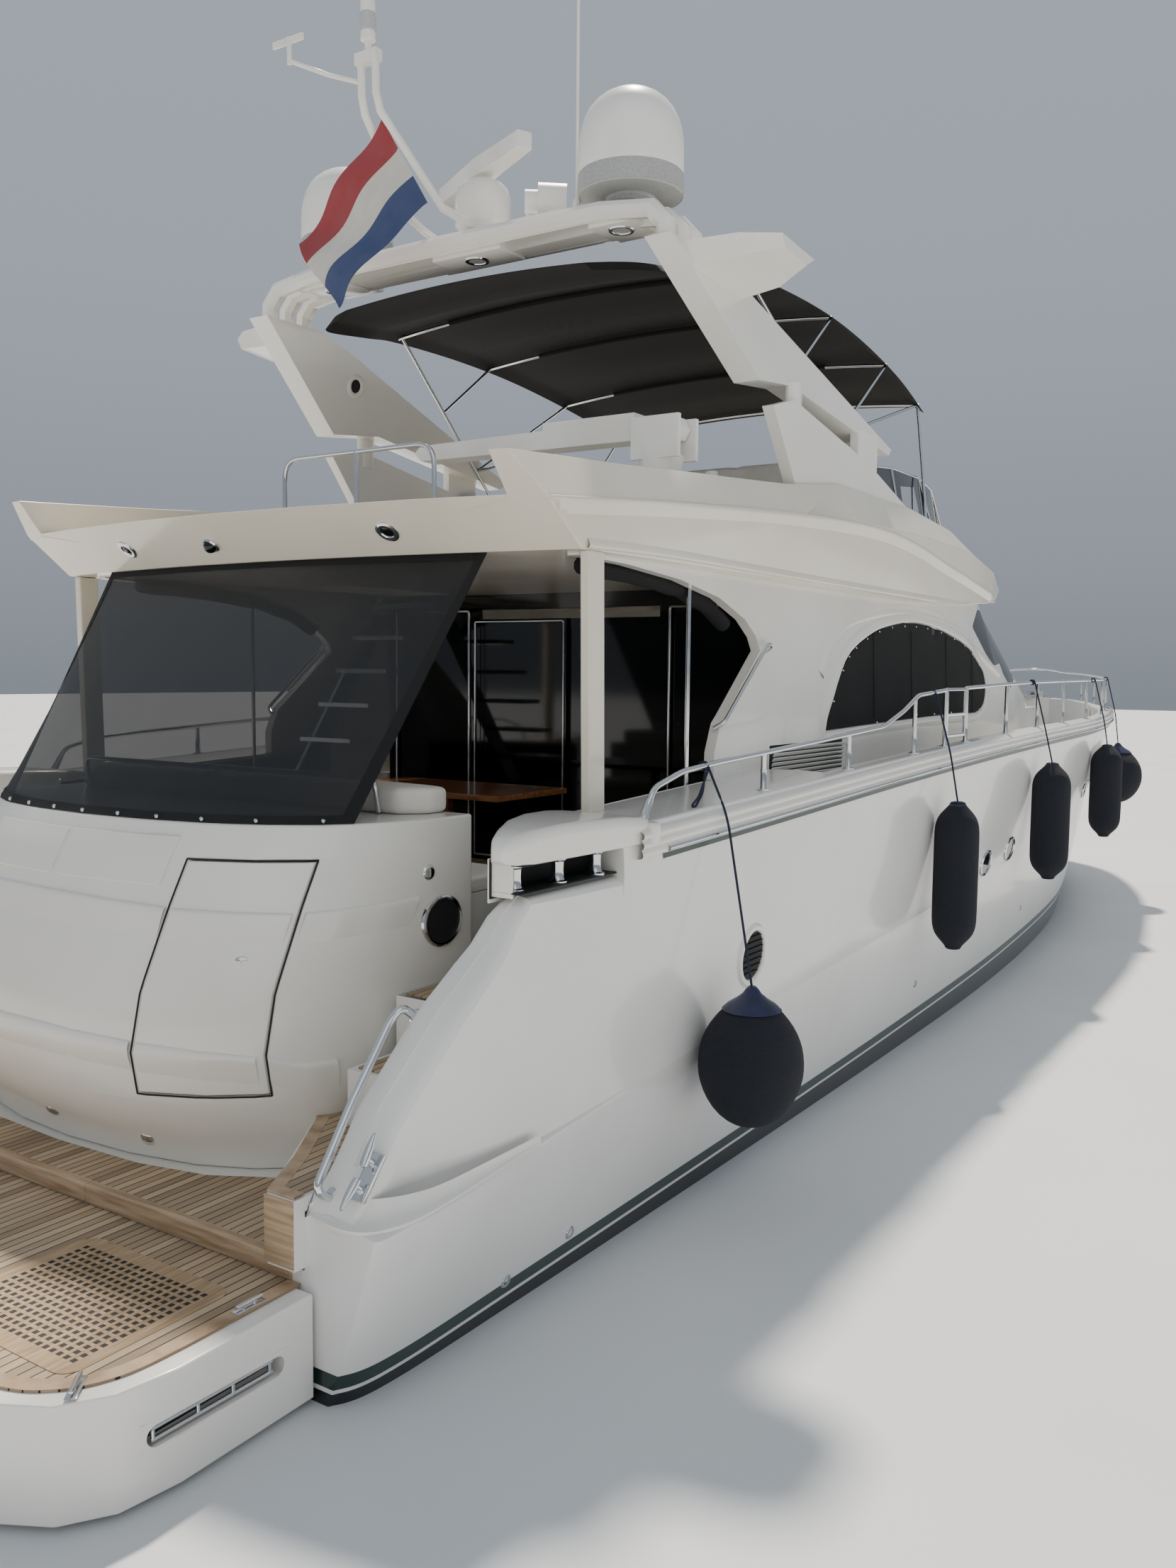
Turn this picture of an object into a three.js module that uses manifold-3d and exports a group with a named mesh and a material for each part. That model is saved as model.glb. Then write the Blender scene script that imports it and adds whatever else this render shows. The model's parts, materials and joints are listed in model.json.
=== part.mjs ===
import * as THREE from 'three';
import { mergeVertices } from 'three/addons/utils/BufferGeometryUtils.js';
import Module from 'manifold-3d';

// A 21 m flybridge motor yacht. Millimetres, +X starboard, +Y bow, +Z up.
// The origin is on the centreline at the stern, on the still waterline.

const GAP = 0.3;

// Driving levels above the waterline
const PLATFORM_TOP = 470;
const AFT_DECK = 560;
const LEDGE = 850;
const SOLE = 1400;
const SIDE_DECK = 2080;
const TRANSOM_TOP = 2230;
const OVERHANG = 3600;
const FLY_DECK = 3780;
const FASCIA_TOP = 3845;
const LEG_TOP = 5600;
const BRIDGE_PLATE = 5925;

// Driving places along the hull
const ISLAND_FRONT = 1750;
const BULKHEAD = 4900;
const SALOON_FRONT = 12400;
const BOW = 19500;

// Driving places across the hull
const WING_INSIDE = 2050;
const WELL_HALF = 1980;
const SALOON_HALF = 1880;
const WALL = 70;
const CAP_WIDTH = 130;
const RUB_HEIGHT = 110;

const wasm = await Module();
wasm.setup();
const yacht = new THREE.Group();

// Turns a closed geometry into a solid that can be joined and cut
function solid(geometry) {
  const bare = geometry.clone();
  bare.deleteAttribute('normal');
  bare.deleteAttribute('uv');
  const merged = mergeVertices(bare, 1e-3);
  const vertProperties = new Float32Array(merged.attributes.position.array);
  const triVerts = new Uint32Array(merged.index.array);
  return new wasm.Manifold(new wasm.Mesh({ numProp: 3, vertProperties, triVerts }));
}

function toGeometry(body) {
  const mesh = body.getMesh();
  const geometry = new THREE.BufferGeometry();
  const position = new Float32Array(mesh.numVert * 3);
  for (let i = 0; i < mesh.numVert; i += 1) {
    for (let k = 0; k < 3; k += 1) position[i * 3 + k] = mesh.vertProperties[i * mesh.numProp + k];
  }
  geometry.setAttribute('position', new THREE.BufferAttribute(position, 3));
  geometry.setIndex(new THREE.BufferAttribute(new Uint32Array(mesh.triVerts), 1));
  return geometry;
}

const join = (...bodies) => bodies.reduce((sum, body) => sum.add(body));
const cut = (body, ...tools) => tools.reduce((rest, tool) => rest.subtract(tool), body);
const mirrored = (body) => body.mirror([1, 0, 0]);
const bothSides = (body) => body.add(mirrored(body));

function box(x0, x1, y0, y1, z0, z1) {
  const geometry = new THREE.BoxGeometry(x1 - x0, y1 - y0, z1 - z0);
  geometry.translate((x0 + x1) / 2, (y0 + y1) / 2, (z0 + z1) / 2);
  return solid(geometry);
}

// An outline pushed along one axis: 'x' takes [y, z], 'y' takes [x, z], 'z' takes [x, y]
function prism(outline, axis, from, to) {
  const shape = new THREE.Shape(outline.map(([a, b]) => new THREE.Vector2(a, b)));
  const depth = to - from;
  const geometry = new THREE.ExtrudeGeometry(shape, { depth, bevelEnabled: false, steps: 1 });
  geometry.translate(0, 0, from);
  const place = new THREE.Matrix4();
  if (axis === 'x') place.set(0, 0, 1, 0, 1, 0, 0, 0, 0, 1, 0, 0, 0, 0, 0, 1);
  if (axis === 'y') {
    geometry.translate(0, 0, -from - to);
    place.set(1, 0, 0, 0, 0, 0, -1, 0, 0, 1, 0, 0, 0, 0, 0, 1);
  }
  geometry.applyMatrix4(place);
  return solid(geometry);
}

// Triangles that close a symmetric loop by rungs from each side to the other
function rungs(size) {
  const triangles = [[0, 1, size - 1], [size / 2 - 1, size / 2, size / 2 + 1]];
  for (let k = 1; k + 1 < size / 2; k += 1) {
    triangles.push([k, k + 1, size - k], [k + 1, size - k - 1, size - k]);
  }
  return triangles;
}

// A closed body through loops of [x, y, z]; its two ends are flat caps seen along capAxis, or rungs
function loft(loops, capAxis = 1, thin = false) {
  const size = loops[0].length;
  const position = loops.flat(2);
  const index = [];
  for (let i = 0; i + 1 < loops.length; i += 1) {
    for (let k = 0; k < size; k += 1) {
      const a = i * size + k;
      const b = i * size + ((k + 1) % size);
      // A thin sheet's back is split along the same diagonals as its front
      if (thin && k === 1) index.push(a, b, a + size, b, b + size, a + size);
      else index.push(a, b, b + size, a, b + size, a + size);
    }
  }
  if (capAxis === 'rungs') {
    const end = (loops.length - 1) * size;
    for (const [a, b, c] of rungs(size)) index.push(a, c, b, end + a, end + b, end + c);
    return facingOut(position, index);
  }
  const flat = (loop) => loop.map((p) => new THREE.Vector2(...p.filter((_, k) => k !== capAxis)));
  const last = (loops.length - 1) * size;
  for (const [loop, start, flip] of [[loops[0], 0, true], [loops[loops.length - 1], last, false]]) {
    const outline = flat(loop);
    const clockwise = THREE.ShapeUtils.isClockWise(outline);
    const ring = outline.map((_, k) => start + (clockwise ? size - 1 - k : k));
    const points = clockwise ? outline.slice().reverse() : outline;
    for (const [a, b, c] of THREE.ShapeUtils.triangulateShape(points, [])) {
      const turned = clockwise !== flip;
      index.push(ring[a], ring[turned ? c : b], ring[turned ? b : c]);
    }
  }
  return facingOut(position, index);
}

// The side quads fix the winding; the whole body is turned round if its volume is negative
function facingOut(position, index) {
  let volume = 0;
  const at = (i) => new THREE.Vector3(...position.slice(i * 3, i * 3 + 3));
  for (let i = 0; i < index.length; i += 3) {
    volume += at(index[i]).dot(at(index[i + 1]).cross(at(index[i + 2])));
  }
  const turned = [];
  for (let i = 0; i < index.length; i += 3) turned.push(index[i], index[i + 2], index[i + 1]);
  const geometry = new THREE.BufferGeometry();
  geometry.setAttribute('position', new THREE.Float32BufferAttribute(position, 3));
  geometry.setIndex(volume < 0 ? turned : index);
  return solid(geometry);
}

// A round pipe through [x, y, z] points, mitred at each point
function pipe(points, radius, sides = 8) {
  const at = points.map((p) => new THREE.Vector3(...p));
  const run = at.slice(1).map((p, i) => p.clone().sub(at[i]).normalize());
  let normal = new THREE.Vector3(0.31, 0.17, 0.93).cross(run[0]).normalize();
  const loops = at.map((centre, i) => {
    const before = run[Math.max(i - 1, 0)];
    const after = run[Math.min(i, run.length - 1)];
    const tangent = before.clone().add(after).normalize();
    normal = normal.clone().addScaledVector(tangent, -normal.dot(tangent)).normalize();
    const side = tangent.clone().cross(normal);
    const bend = after.clone().sub(before);
    const stretch = 1 / before.dot(tangent) - 1;
    if (bend.length() > 1e-6) bend.normalize();
    return Array.from({ length: sides }, (_, k) => {
      const turn = (2 * Math.PI * k) / sides;
      const spoke = normal.clone().multiplyScalar(Math.cos(turn)).addScaledVector(side, Math.sin(turn));
      spoke.addScaledVector(bend, spoke.dot(bend) * stretch).multiplyScalar(radius);
      return centre.clone().add(spoke).toArray();
    });
  });
  return capped(loops);
}
const rod = (from, to, radius, sides = 8) => pipe([from, to], radius, sides);

// Closes round loops with a fan at each end
function capped(loops) {
  const size = loops[0].length;
  const index = [];
  for (let i = 0; i + 1 < loops.length; i += 1) {
    for (let k = 0; k < size; k += 1) {
      const a = i * size + k;
      const b = i * size + ((k + 1) % size);
      index.push(a, b, b + size, a, b + size, a + size);
    }
  }
  const last = (loops.length - 1) * size;
  for (let k = 1; k + 1 < size; k += 1) {
    index.push(0, k + 1, k);
    index.push(last, last + k, last + k + 1);
  }
  return facingOut(loops.flat(2), index);
}

// A turned piece: profile of [radius, height] that starts and ends on the axis, up +Z
function turned(profile, segments = 20) {
  const points = profile.map(([r, h]) => new THREE.Vector2(r, h));
  const geometry = new THREE.LatheGeometry(points, segments);
  geometry.rotateX(Math.PI / 2);
  return geometry;
}

// Values between the rows of a table, on a smooth curve through them
function smoothRows(rows, perGap) {
  const result = [];
  for (let i = 0; i + 1 < rows.length; i += 1) {
    const last = rows.length - 1;
    const [p, q, r, s] = [i - 1, i, i + 1, i + 2].map((at) => rows[Math.min(Math.max(at, 0), last)]);
    for (let k = 0; k < perGap; k += 1) {
      const t = k / perGap;
      result.push(q.map((_, c) => spline(p[c], q[c], r[c], s[c], t)));
    }
  }
  result.push(rows[rows.length - 1]);
  return result;
}
function spline(p, q, r, s, t) {
  const a = (r - p) / 2;
  const b = (s - q) / 2;
  return q + t * (a + t * (3 * (r - q) - 2 * a - b + t * (2 * (q - r) + a + b)));
}

// Value of a column at a place, by straight lines between the rows; column 0 is the place
function between(rows, place, column) {
  for (let i = 0; i + 1 < rows.length; i += 1) {
    const [a, b] = [rows[i], rows[i + 1]];
    if (place <= b[0] || i + 2 === rows.length) {
      return a[column] + ((b[column] - a[column]) * (place - a[0])) / (b[0] - a[0]);
    }
  }
  return rows[0][column];
}

// An outline moved outward by a distance, with its corners mitred
function grown(outline, distance) {
  const area = THREE.ShapeUtils.area(outline.map(([x, y]) => new THREE.Vector2(x, y)));
  const sign = Math.sign(area);
  return outline.map(([x, y], i) => {
    const before = outline[(i + outline.length - 1) % outline.length];
    const after = outline[(i + 1) % outline.length];
    const a = new THREE.Vector2(y - before[1], before[0] - x).normalize();
    const b = new THREE.Vector2(after[1] - y, x - after[0]).normalize();
    const mitre = a.clone().add(b).normalize();
    const reach = (sign * distance) / Math.max(mitre.dot(a), 0.3);
    return [x + mitre.x * reach, y + mitre.y * reach];
  });
}

const FINISH = {
  gelcoat: { color: 0xece8dc, roughness: 0.25, metalness: 0 },
  bottom: { color: 0x20262e, roughness: 0.7, metalness: 0 },
  teak: { color: 0xb18a5e, roughness: 0.75, metalness: 0 },
  steel: { color: 0xc9ccd0, roughness: 0.15, metalness: 1 },
  bronze: { color: 0xa5814a, roughness: 0.35, metalness: 1 },
  glass: { color: 0x1a2024, roughness: 0.08, metalness: 0 },
  clear: { color: 0x9fb0b8, roughness: 0.1, metalness: 0 },
  canvas: { color: 0x17181b, roughness: 0.9, metalness: 0 },
  cushion: { color: 0xe9e6de, roughness: 0.8, metalness: 0 },
  fender: { color: 0x1d2740, roughness: 0.85, metalness: 0 },
  plastic: { color: 0xf4f4f1, roughness: 0.4, metalness: 0 },
  rubber: { color: 0x26282a, roughness: 0.8, metalness: 0 },
  flag: { color: 0xc8c8cc, roughness: 0.9, metalness: 0 },
};

function add(name, body, finish, group = yacht) {
  const geometry = body.isBufferGeometry ? body : toGeometry(body);
  const mesh = new THREE.Mesh(geometry, new THREE.MeshStandardMaterial(FINISH[finish]));
  mesh.name = name;
  group.add(mesh);
  return mesh;
}

// Transom island: the bulged moulding between the wings, with a locker behind its door
// z, then how far aft the island stands on the centreline
const ISLAND_LEVELS = [
  [AFT_DECK + GAP, 400],
  [700, 330],
  [960, 110],
  [1200, 70],
  [1480, 130],
  [1850, 300],
  [2080, 420],
  [TRANSOM_TOP, 520],
];
// x, then how much further forward the island stands there
const ISLAND_PLAN = [
  [0, 0],
  [450, 28],
  [850, 115],
  [1120, 240],
  [1320, 400],
  [1460, 600],
  [1540, 860],
  [1575, 1150],
];
const ISLAND_HALF = 1575;
const ISLAND_CORNER = 40;
function islandLoop([z, y0], inset = 0) {
  const furthest = ISLAND_FRONT - ISLAND_CORNER - inset;
  const half = ISLAND_PLAN.map(([x, y]) => [Math.max(x - inset, 0), Math.min(y0 + y + inset, furthest), z]);
  const front = [ISLAND_HALF - inset, ISLAND_FRONT - GAP - inset, z];
  const right = [...half.slice(1), front];
  return [half[0], ...right, ...right.map(([x, y, h]) => [-x, y, h]).reverse()];
}
const island = loft(ISLAND_LEVELS.map((level) => islandLoop(level)), 2);

// Hull

// y, keelZ, chineX, chineZ, creaseX, creaseZ, shelfX, topX, railZ, capZ
const HULL = [
  [60, -880, 2080, -160, 2370, 760, 2290, 2380, 1990, 2150],
  [300, -900, 2170, -160, 2480, 780, 2330, 2430, 2000, 2165],
  [1200, -960, 2210, -150, 2480, 840, 2455, 2500, 2030, 2200],
  [3000, -1040, 2250, -130, 2490, 960, 2490, 2560, 2110, 2280],
  [6000, -1100, 2280, -100, 2500, 1090, 2500, 2620, 2240, 2400],
  [9000, -1100, 2250, -50, 2460, 1210, 2460, 2620, 2320, 2470],
  [12000, -1060, 2070, 40, 2330, 1360, 2330, 2520, 2350, 2490],
  [14000, -960, 1760, 160, 2070, 1490, 2070, 2310, 2370, 2500],
  [16000, -720, 1260, 380, 1600, 1630, 1600, 1930, 2390, 2520],
  [17500, -300, 770, 680, 1100, 1760, 1100, 1470, 2410, 2550],
  [18700, 520, 300, 1120, 520, 1900, 520, 880, 2440, 2590],
  [19500, 1900, 24, 1960, 30, 2080, 30, 60, 2480, 2620],
];
const hullRows = smoothRows(HULL, 2);
const CAP_TUCK = 25;
const SPRAY_RAIL = 40;

function hullLoop([y, keelZ, chineX, chineZ, creaseX, creaseZ, shelfX, topX, railZ, capZ]) {
  const half = [
    [chineX, chineZ],
    [chineX + SPRAY_RAIL, chineZ + 20],
    [creaseX, creaseZ],
    [shelfX, creaseZ + 12],
    [(shelfX + topX) / 2 + 15, (creaseZ + railZ) / 2],
    [topX, railZ],
    [topX, railZ + RUB_HEIGHT],
    [topX - CAP_TUCK, capZ],
  ];
  const right = half.map(([x, z]) => [x, y, z]);
  const left = half.map(([x, z]) => [-x, y, z]).reverse();
  return [[0, y, keelZ], ...right, ...left];
}

// The deck sunk behind the bulwark, with the cap left standing round it
const deckLoop = (y) => {
  const half = Math.max(between(hullRows, y, 7) - CAP_WIDTH - 40, 40);
  return [[-half, y, SIDE_DECK], [half, y, SIDE_DECK], [half, y, 3400], [-half, y, 3400]];
};
const DECK_STARTS = 4300;
const deckStations = [
  DECK_STARTS, 6000, 9000, 11000, 12500, 14000,
  15200, 16200, 17200, 18000, 18700, 19100,
];

// y, z along the sloping edge of each quarter wing, from its top to the shelf
const WING_EDGE = [
  [1300, 2300],
  [1190, 2190],
  [1090, 2060],
  [930, 1840],
  [600, 1540],
  [310, 1180],
  [70, 790],
];

const stairs = [
  box(1620, WING_INSIDE + 5, 760, 1100, AFT_DECK - 5, 1120),
  box(1620, WING_INSIDE + 5, 1100, ISLAND_FRONT + 5, AFT_DECK - 5, SOLE),
];
const ledgePlan = [[1250, 950], [1440, 720], [1700, 320], [1900, 0], [2055, -0], [2055, 950]];
const sideStep = box(1640, WELL_HALF + 5, 4000, 4500, SOLE - 5, 1740);

let hull = loft(hullRows.map(hullLoop));
const wingCut = prism([[-900, 3000], [1300, 3000], ...WING_EDGE, [-900, 790]], 'x', WING_INSIDE - 10, 3000);
const saloonWell = box(-SALOON_HALF, SALOON_HALF, BULKHEAD - 5, SALOON_FRONT, SOLE, 3400);
hull = cut(
  hull,
  box(-WING_INSIDE, WING_INSIDE, -900, ISLAND_FRONT, AFT_DECK, 3400),
  box(-WELL_HALF, WELL_HALF, ISLAND_FRONT - 5, BULKHEAD, SOLE, 3400),
  saloonWell,
  loft(deckStations.map(deckLoop)),
  wingCut,
  mirrored(wingCut),
);
const islandRoom = loft(ISLAND_LEVELS.map((level) => islandLoop(level, -2 * GAP)), 2);
for (const step of [...stairs, prism(ledgePlan, 'z', AFT_DECK - 5, LEDGE), sideStep]) {
  hull = join(hull, bothSides(step));
}

// Shafts with their brackets, and the rudder trunks, stand under the hull
const SHAFT_X = 850;
const PROP_Y = 1500;
const PROP_Z = -1120;
const SHAFT_RADIUS = 38;
const RUDDER_Y = 620;
const RUDDER_TOP = -665;
const propHub = [SHAFT_X, PROP_Y, PROP_Z];
const shaftFoot = [SHAFT_X, 5200, -820];
const strut = [[PROP_Y + 260, -400], [PROP_Y + 560, -400], [PROP_Y + 460, -1170], [PROP_Y + 300, -1170]];
const bearing = rod([SHAFT_X, PROP_Y + 270, PROP_Z + 22], [SHAFT_X, PROP_Y + 500, PROP_Z + 42], 75, 12);
const HUB_FRONT = PROP_Y + 160;
const shaft = cut(
  rod([SHAFT_X, PROP_Y + 145, PROP_Z + 12], shaftFoot, SHAFT_RADIUS, 10),
  box(SHAFT_X - 200, SHAFT_X + 200, PROP_Y, HUB_FRONT + GAP, -1400, -900),
);
const rudderTrunk = rod([SHAFT_X, RUDDER_Y, -300], [SHAFT_X, RUDDER_Y, RUDDER_TOP], 70, 12);
const strutBody = prism(strut, 'x', SHAFT_X - 25, SHAFT_X + 25);
hull = join(hull, bothSides(join(shaft, bearing, strutBody, rudderTrunk)));

// Mouldings that are one with the hull: cockpit seat, coachroof and chain locker coaming
const SEAT_TOP = 1780;
const COACH_TOP = 2520;
const HATCH_SEAT = 2180;
const coachLoop = (x, y0, y1, z) => [[-x, y0, z], [x, y0, z], [x * 0.72, y1, z], [-x * 0.72, y1, z]];
const coachroof = loft([
  coachLoop(1250, 13420, 16700, SIDE_DECK - 5),
  coachLoop(1130, 13480, 16500, COACH_TOP),
], 2);
const seatBase = box(-1500, 1500, ISLAND_FRONT + 2 * GAP, 2250, SOLE - 5, SEAT_TOP);
const hatchCoaming = cut(
  box(-420, 420, 17000, 17560, SIDE_DECK - 5, HATCH_SEAT),
  box(-360, 360, 17060, 17500, SIDE_DECK + 25, 2300),
);
hull = cut(join(hull, seatBase, coachroof, hatchCoaming), islandRoom);
add('hull', hull, 'gelcoat');

// Rub rail: one band round both sides and the stem, just off the hull
const RUB_OUT = 45;
const rubStart = 1500;
const rubRows = hullRows.filter(([y]) => y >= rubStart);
const rubLoop = ([y, , , , , , , topX, railZ], side) => {
  const inner = side * (topX + GAP);
  const outer = side * (topX + RUB_OUT);
  return [
    [inner, y, railZ + 4],
    [outer - side * 12, y, railZ + 4],
    [outer, y, railZ + 30],
    [outer, y, railZ + RUB_HEIGHT - 30],
    [outer - side * 12, y, railZ + RUB_HEIGHT - 4],
    [inner, y, railZ + RUB_HEIGHT - 4],
  ];
};
const noseZ = HULL[HULL.length - 1][8];
const noseAt = (x, out) => [
  [x, BOW + GAP, noseZ + 4],
  [x, BOW + out - 12, noseZ + 4],
  [x, BOW + out, noseZ + 30],
  [x, BOW + out, noseZ + RUB_HEIGHT - 30],
  [x, BOW + out - 12, noseZ + RUB_HEIGHT - 4],
  [x, BOW + GAP, noseZ + RUB_HEIGHT - 4],
];
const cornerLoop = (side) => {
  const [inner, outer] = [side * (60 + GAP), side * (60 + RUB_OUT)];
  const [i, o] = [BOW + GAP, BOW + RUB_OUT * 0.6];
  return [[inner, i, noseZ + 4], [outer - side * 14, o - 10, noseZ + 4], [outer - side * 6, o, noseZ + 30],
    [outer - side * 6, o, noseZ + RUB_HEIGHT - 30], [outer - side * 14, o - 10, noseZ + RUB_HEIGHT - 4],
    [inner, i, noseZ + RUB_HEIGHT - 4]];
};
const rubLoops = [
  ...rubRows.slice(0, -1).map((row) => rubLoop(row, -1)),
  cornerLoop(-1),
  noseAt(0, RUB_OUT),
  cornerLoop(1),
  ...rubRows.slice(0, -1).reverse().map((row) => rubLoop(row, 1)),
];
add('rub_rail', loft(rubLoops), 'rubber');

// Swim platform: a thick moulding with a rounded aft edge that can be lowered
const PLATFORM_HALF = 2120;
const PLATFORM_FRONT = 40;
const PLATFORM_BOTTOM = 30;
// x, y of the starboard half of the platform's edge
const platformEdge = [
  [2120, 40],
  [2120, -620],
  [2080, -860],
  [1960, -1030],
  [1760, -1140],
  [1200, -1260],
  [600, -1320],
];
const platformPlan = [...platformEdge, ...platformEdge.map(([x, y]) => [-x, y]).reverse()];
const slot = (x0, x1) => box(x0, x1, -760, -120, 215, 300);
let platform = prism(platformPlan, 'z', PLATFORM_BOTTOM, PLATFORM_TOP);
platform = cut(platform, bothSides(slot(PLATFORM_HALF - 90, PLATFORM_HALF + 50)));
platform = join(platform, bothSides(box(900, 1060, PLATFORM_FRONT - 5, 60 - GAP, 90, 400)));
add('swim_platform', platform, 'gelcoat');

// The island's door and the locker behind it
const DOOR = { x0: 820, x1: 1340, z0: 1010, z1: 2060, thickness: 40, lip: 6 };
const LOCKER_FRONT = 1100;
const doorSkin = cut(island, island.translate([0, DOOR.thickness, 0]));
const transomDoor = doorSkin.intersect(box(DOOR.x0, DOOR.x1, 0, LOCKER_FRONT, DOOR.z0, DOOR.z1));
const [lockerLow, lockerHigh] = [DOOR.z0 - DOOR.lip, DOOR.z1 + DOOR.lip];
const locker = box(DOOR.x0 - GAP, DOOR.x1 + DOOR.lip, 0, LOCKER_FRONT, lockerLow, lockerHigh);
add('transom_island', cut(island, locker), 'gelcoat');
add('transom_door', transomDoor, 'gelcoat');

// Cockpit seat on the forward side of the island
add('seat_cushion', box(-1490, 1490, ISLAND_FRONT + 10, 2270, SEAT_TOP + GAP, SEAT_TOP + 110), 'cushion');
const backPlan = [[-1430, 1580], [-1300, 1450], [1300, 1450], [1430, 1580], [1430, 1735], [-1430, 1735]];
add('back_cushion', prism(backPlan, 'z', TRANSOM_TOP + GAP, TRANSOM_TOP + 150), 'cushion');

// Teak table on a steel leg
const table = join(
  box(-750, 750, 3050, 3850, 2130, 2170),
  rod([0, 3450, SOLE + 15], [0, 3450, 2135], 45, 12),
  rod([0, 3450, SOLE + GAP], [0, 3450, SOLE + 20], 200, 20),
);
add('cockpit_table', table, 'teak');

// Flybridge moulding

// bottomX, bottomY, bottomZ, kneeX, kneeY, kneeZ, topX, topY, topZ from the aft centre to the brow
const FLY = [
  [0, 1720, 3600, 0, 1410, 3845, 0, 1250, 4030],
  [700, 1745, 3600, 700, 1435, 3845, 690, 1275, 4030],
  [1400, 1821, 3600, 1400, 1511, 3845, 1380, 1350, 4030],
  [2110, 1950, 3600, 2110, 1640, 3845, 2010, 1470, 4040],
  [2130, 2600, 3600, 2180, 2500, 3900, 2040, 2450, 4100],
  [2130, 4500, 3600, 2200, 4500, 4030, 2060, 4500, 4250],
  [2130, 5400, 3600, 2210, 5400, 4095, 2060, 5400, 4360],
  [2130, 7000, 3600, 2210, 7000, 4115, 2050, 7000, 4360],
  [2120, 8200, 3620, 2180, 8200, 4100, 2000, 8200, 4300],
  [2060, 9300, 3690, 2090, 9350, 3990, 1900, 9300, 4170],
  [1850, 10250, 3750, 1870, 10350, 3880, 1680, 10150, 3990],
  [1350, 10850, 3770, 1370, 10980, 3870, 1230, 10700, 3930],
  [700, 11120, 3780, 700, 11260, 3870, 640, 10930, 3920],
  [0, 11200, 3780, 0, 11350, 3870, 0, 11020, 3920],
];
function flyLoop(x, y, z, lift = 0) {
  const right = FLY.map((row) => [row[x], row[y], (z === null ? 0 : row[z]) + lift]);
  const left = right.slice(1, -1).map(([a, b, c]) => [-a, b, c]).reverse();
  return [...right, ...left];
}
const COAMING_INSIDE = 1900;
// x, y round the inside of the coaming, from aft to the helm
const flyWell = [[COAMING_INSIDE, 7000], [1800, 8100], [1300, 8750], [650, 8980]];
const bothHalves = (plan) => [...plan, ...plan.map(([x, y]) => [-x, y]).reverse()];
let flybridge = loft([flyLoop(0, 1, 2), flyLoop(3, 4, 5), flyLoop(6, 7, 8)], 'rungs');
const innerSill = [[700, 1560], [1400, 1640], [COAMING_INSIDE, 1720]];
flybridge = cut(
  flybridge,
  box(-COAMING_INSIDE, COAMING_INSIDE, 900, 2400, FASCIA_TOP, 4600),
  prism(bothHalves([...innerSill, ...flyWell]), 'z', FLY_DECK, 5000),
);

// Stairwell in the fly deck over the port side of the cockpit
const STAIR = { x0: -1650, x1: -1000, y0: 3500, y1: 4750 };
flybridge = cut(flybridge, box(STAIR.x0, STAIR.x1, STAIR.y0, STAIR.y1, 3500, 3900));
add('flybridge', flybridge, 'gelcoat');

const TREADS = 8;
const riser = (FLY_DECK - SOLE) / (TREADS + 1);
let stair = null;
for (let i = 0; i < TREADS; i += 1) {
  const z = SOLE + riser * (i + 1);
  const y = 2950 + i * 200;
  const tread = box(STAIR.x0 + 90, STAIR.x1 - 30, y, y + 240, z - 35, z);
  stair = stair ? join(stair, tread) : tread;
}
const stringer = [[2960, SOLE + GAP], [3130, SOLE + GAP], [4650, 3500], [4650, 3590], [4500, 3590]];
stair = join(stair, prism(stringer, 'x', STAIR.x0 + 60, STAIR.x0 + 95));
add('fly_stairs', stair, 'steel');

// Pillars that carry the overhang from the quarters
const pillarSide = [[2030, 2100], [2180, 2100], [2150, OVERHANG - GAP], [2000, OVERHANG - GAP]];
const pillar = cut(prism(pillarSide, 'x', 2070, 2130), hull.translate([0, 0, GAP]));
add('pillar_starboard', pillar, 'gelcoat');
add('pillar_port', mirrored(pillar), 'gelcoat');

// Deckhouse: a hollow shell under the flybridge

// bottomX, bottomY, shoulderX, shoulderY, topX, topY, from aft to the centre of the front
const HOUSE = [
  [2020, 2100, 2020, 2100, 1990, 2100],
  [2020, 9400, 2010, 9300, 1960, 8500],
  [1990, 10800, 1960, 10700, 1870, 9300],
  [1800, 12100, 1750, 12000, 1640, 9950],
  [1300, 12900, 1250, 12800, 1180, 10420],
  [650, 13250, 620, 13150, 600, 10650],
  [0, 13330, 0, 13230, 0, 10700],
];
const HOUSE_LEVELS = [[0, 1, SIDE_DECK + GAP], [2, 3, 2720], [4, 5, 3900]];
function houseLoop([cx, cy, z], inset) {
  const right = HOUSE.map((row, i) => {
    const x = row[cx];
    const y = row[cy];
    const aft = i === 0;
    const front = (i / (HOUSE.length - 1)) ** 1.5;
    return [Math.max(x - inset * (1 - front * 0.6), 0), aft ? y - (inset ? 200 : 0) : y - inset * front, z];
  });
  right[right.length - 1][0] = 0;
  return [...right, ...right.slice(0, -1).map(([x, y, h]) => [-x, y, h]).reverse()];
}
function houseBody(inset, low = 0) {
  return loft(HOUSE_LEVELS.map(([cx, cy, z], i) => houseLoop([cx, cy, i === 0 ? z - low : z], inset)), 2);
}
const above = loft([flyLoop(0, 1, 2, -GAP), flyLoop(0, 1, null, 5000)], 'rungs');
const capZ = (y) => between(hullRows, y, 9);
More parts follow.
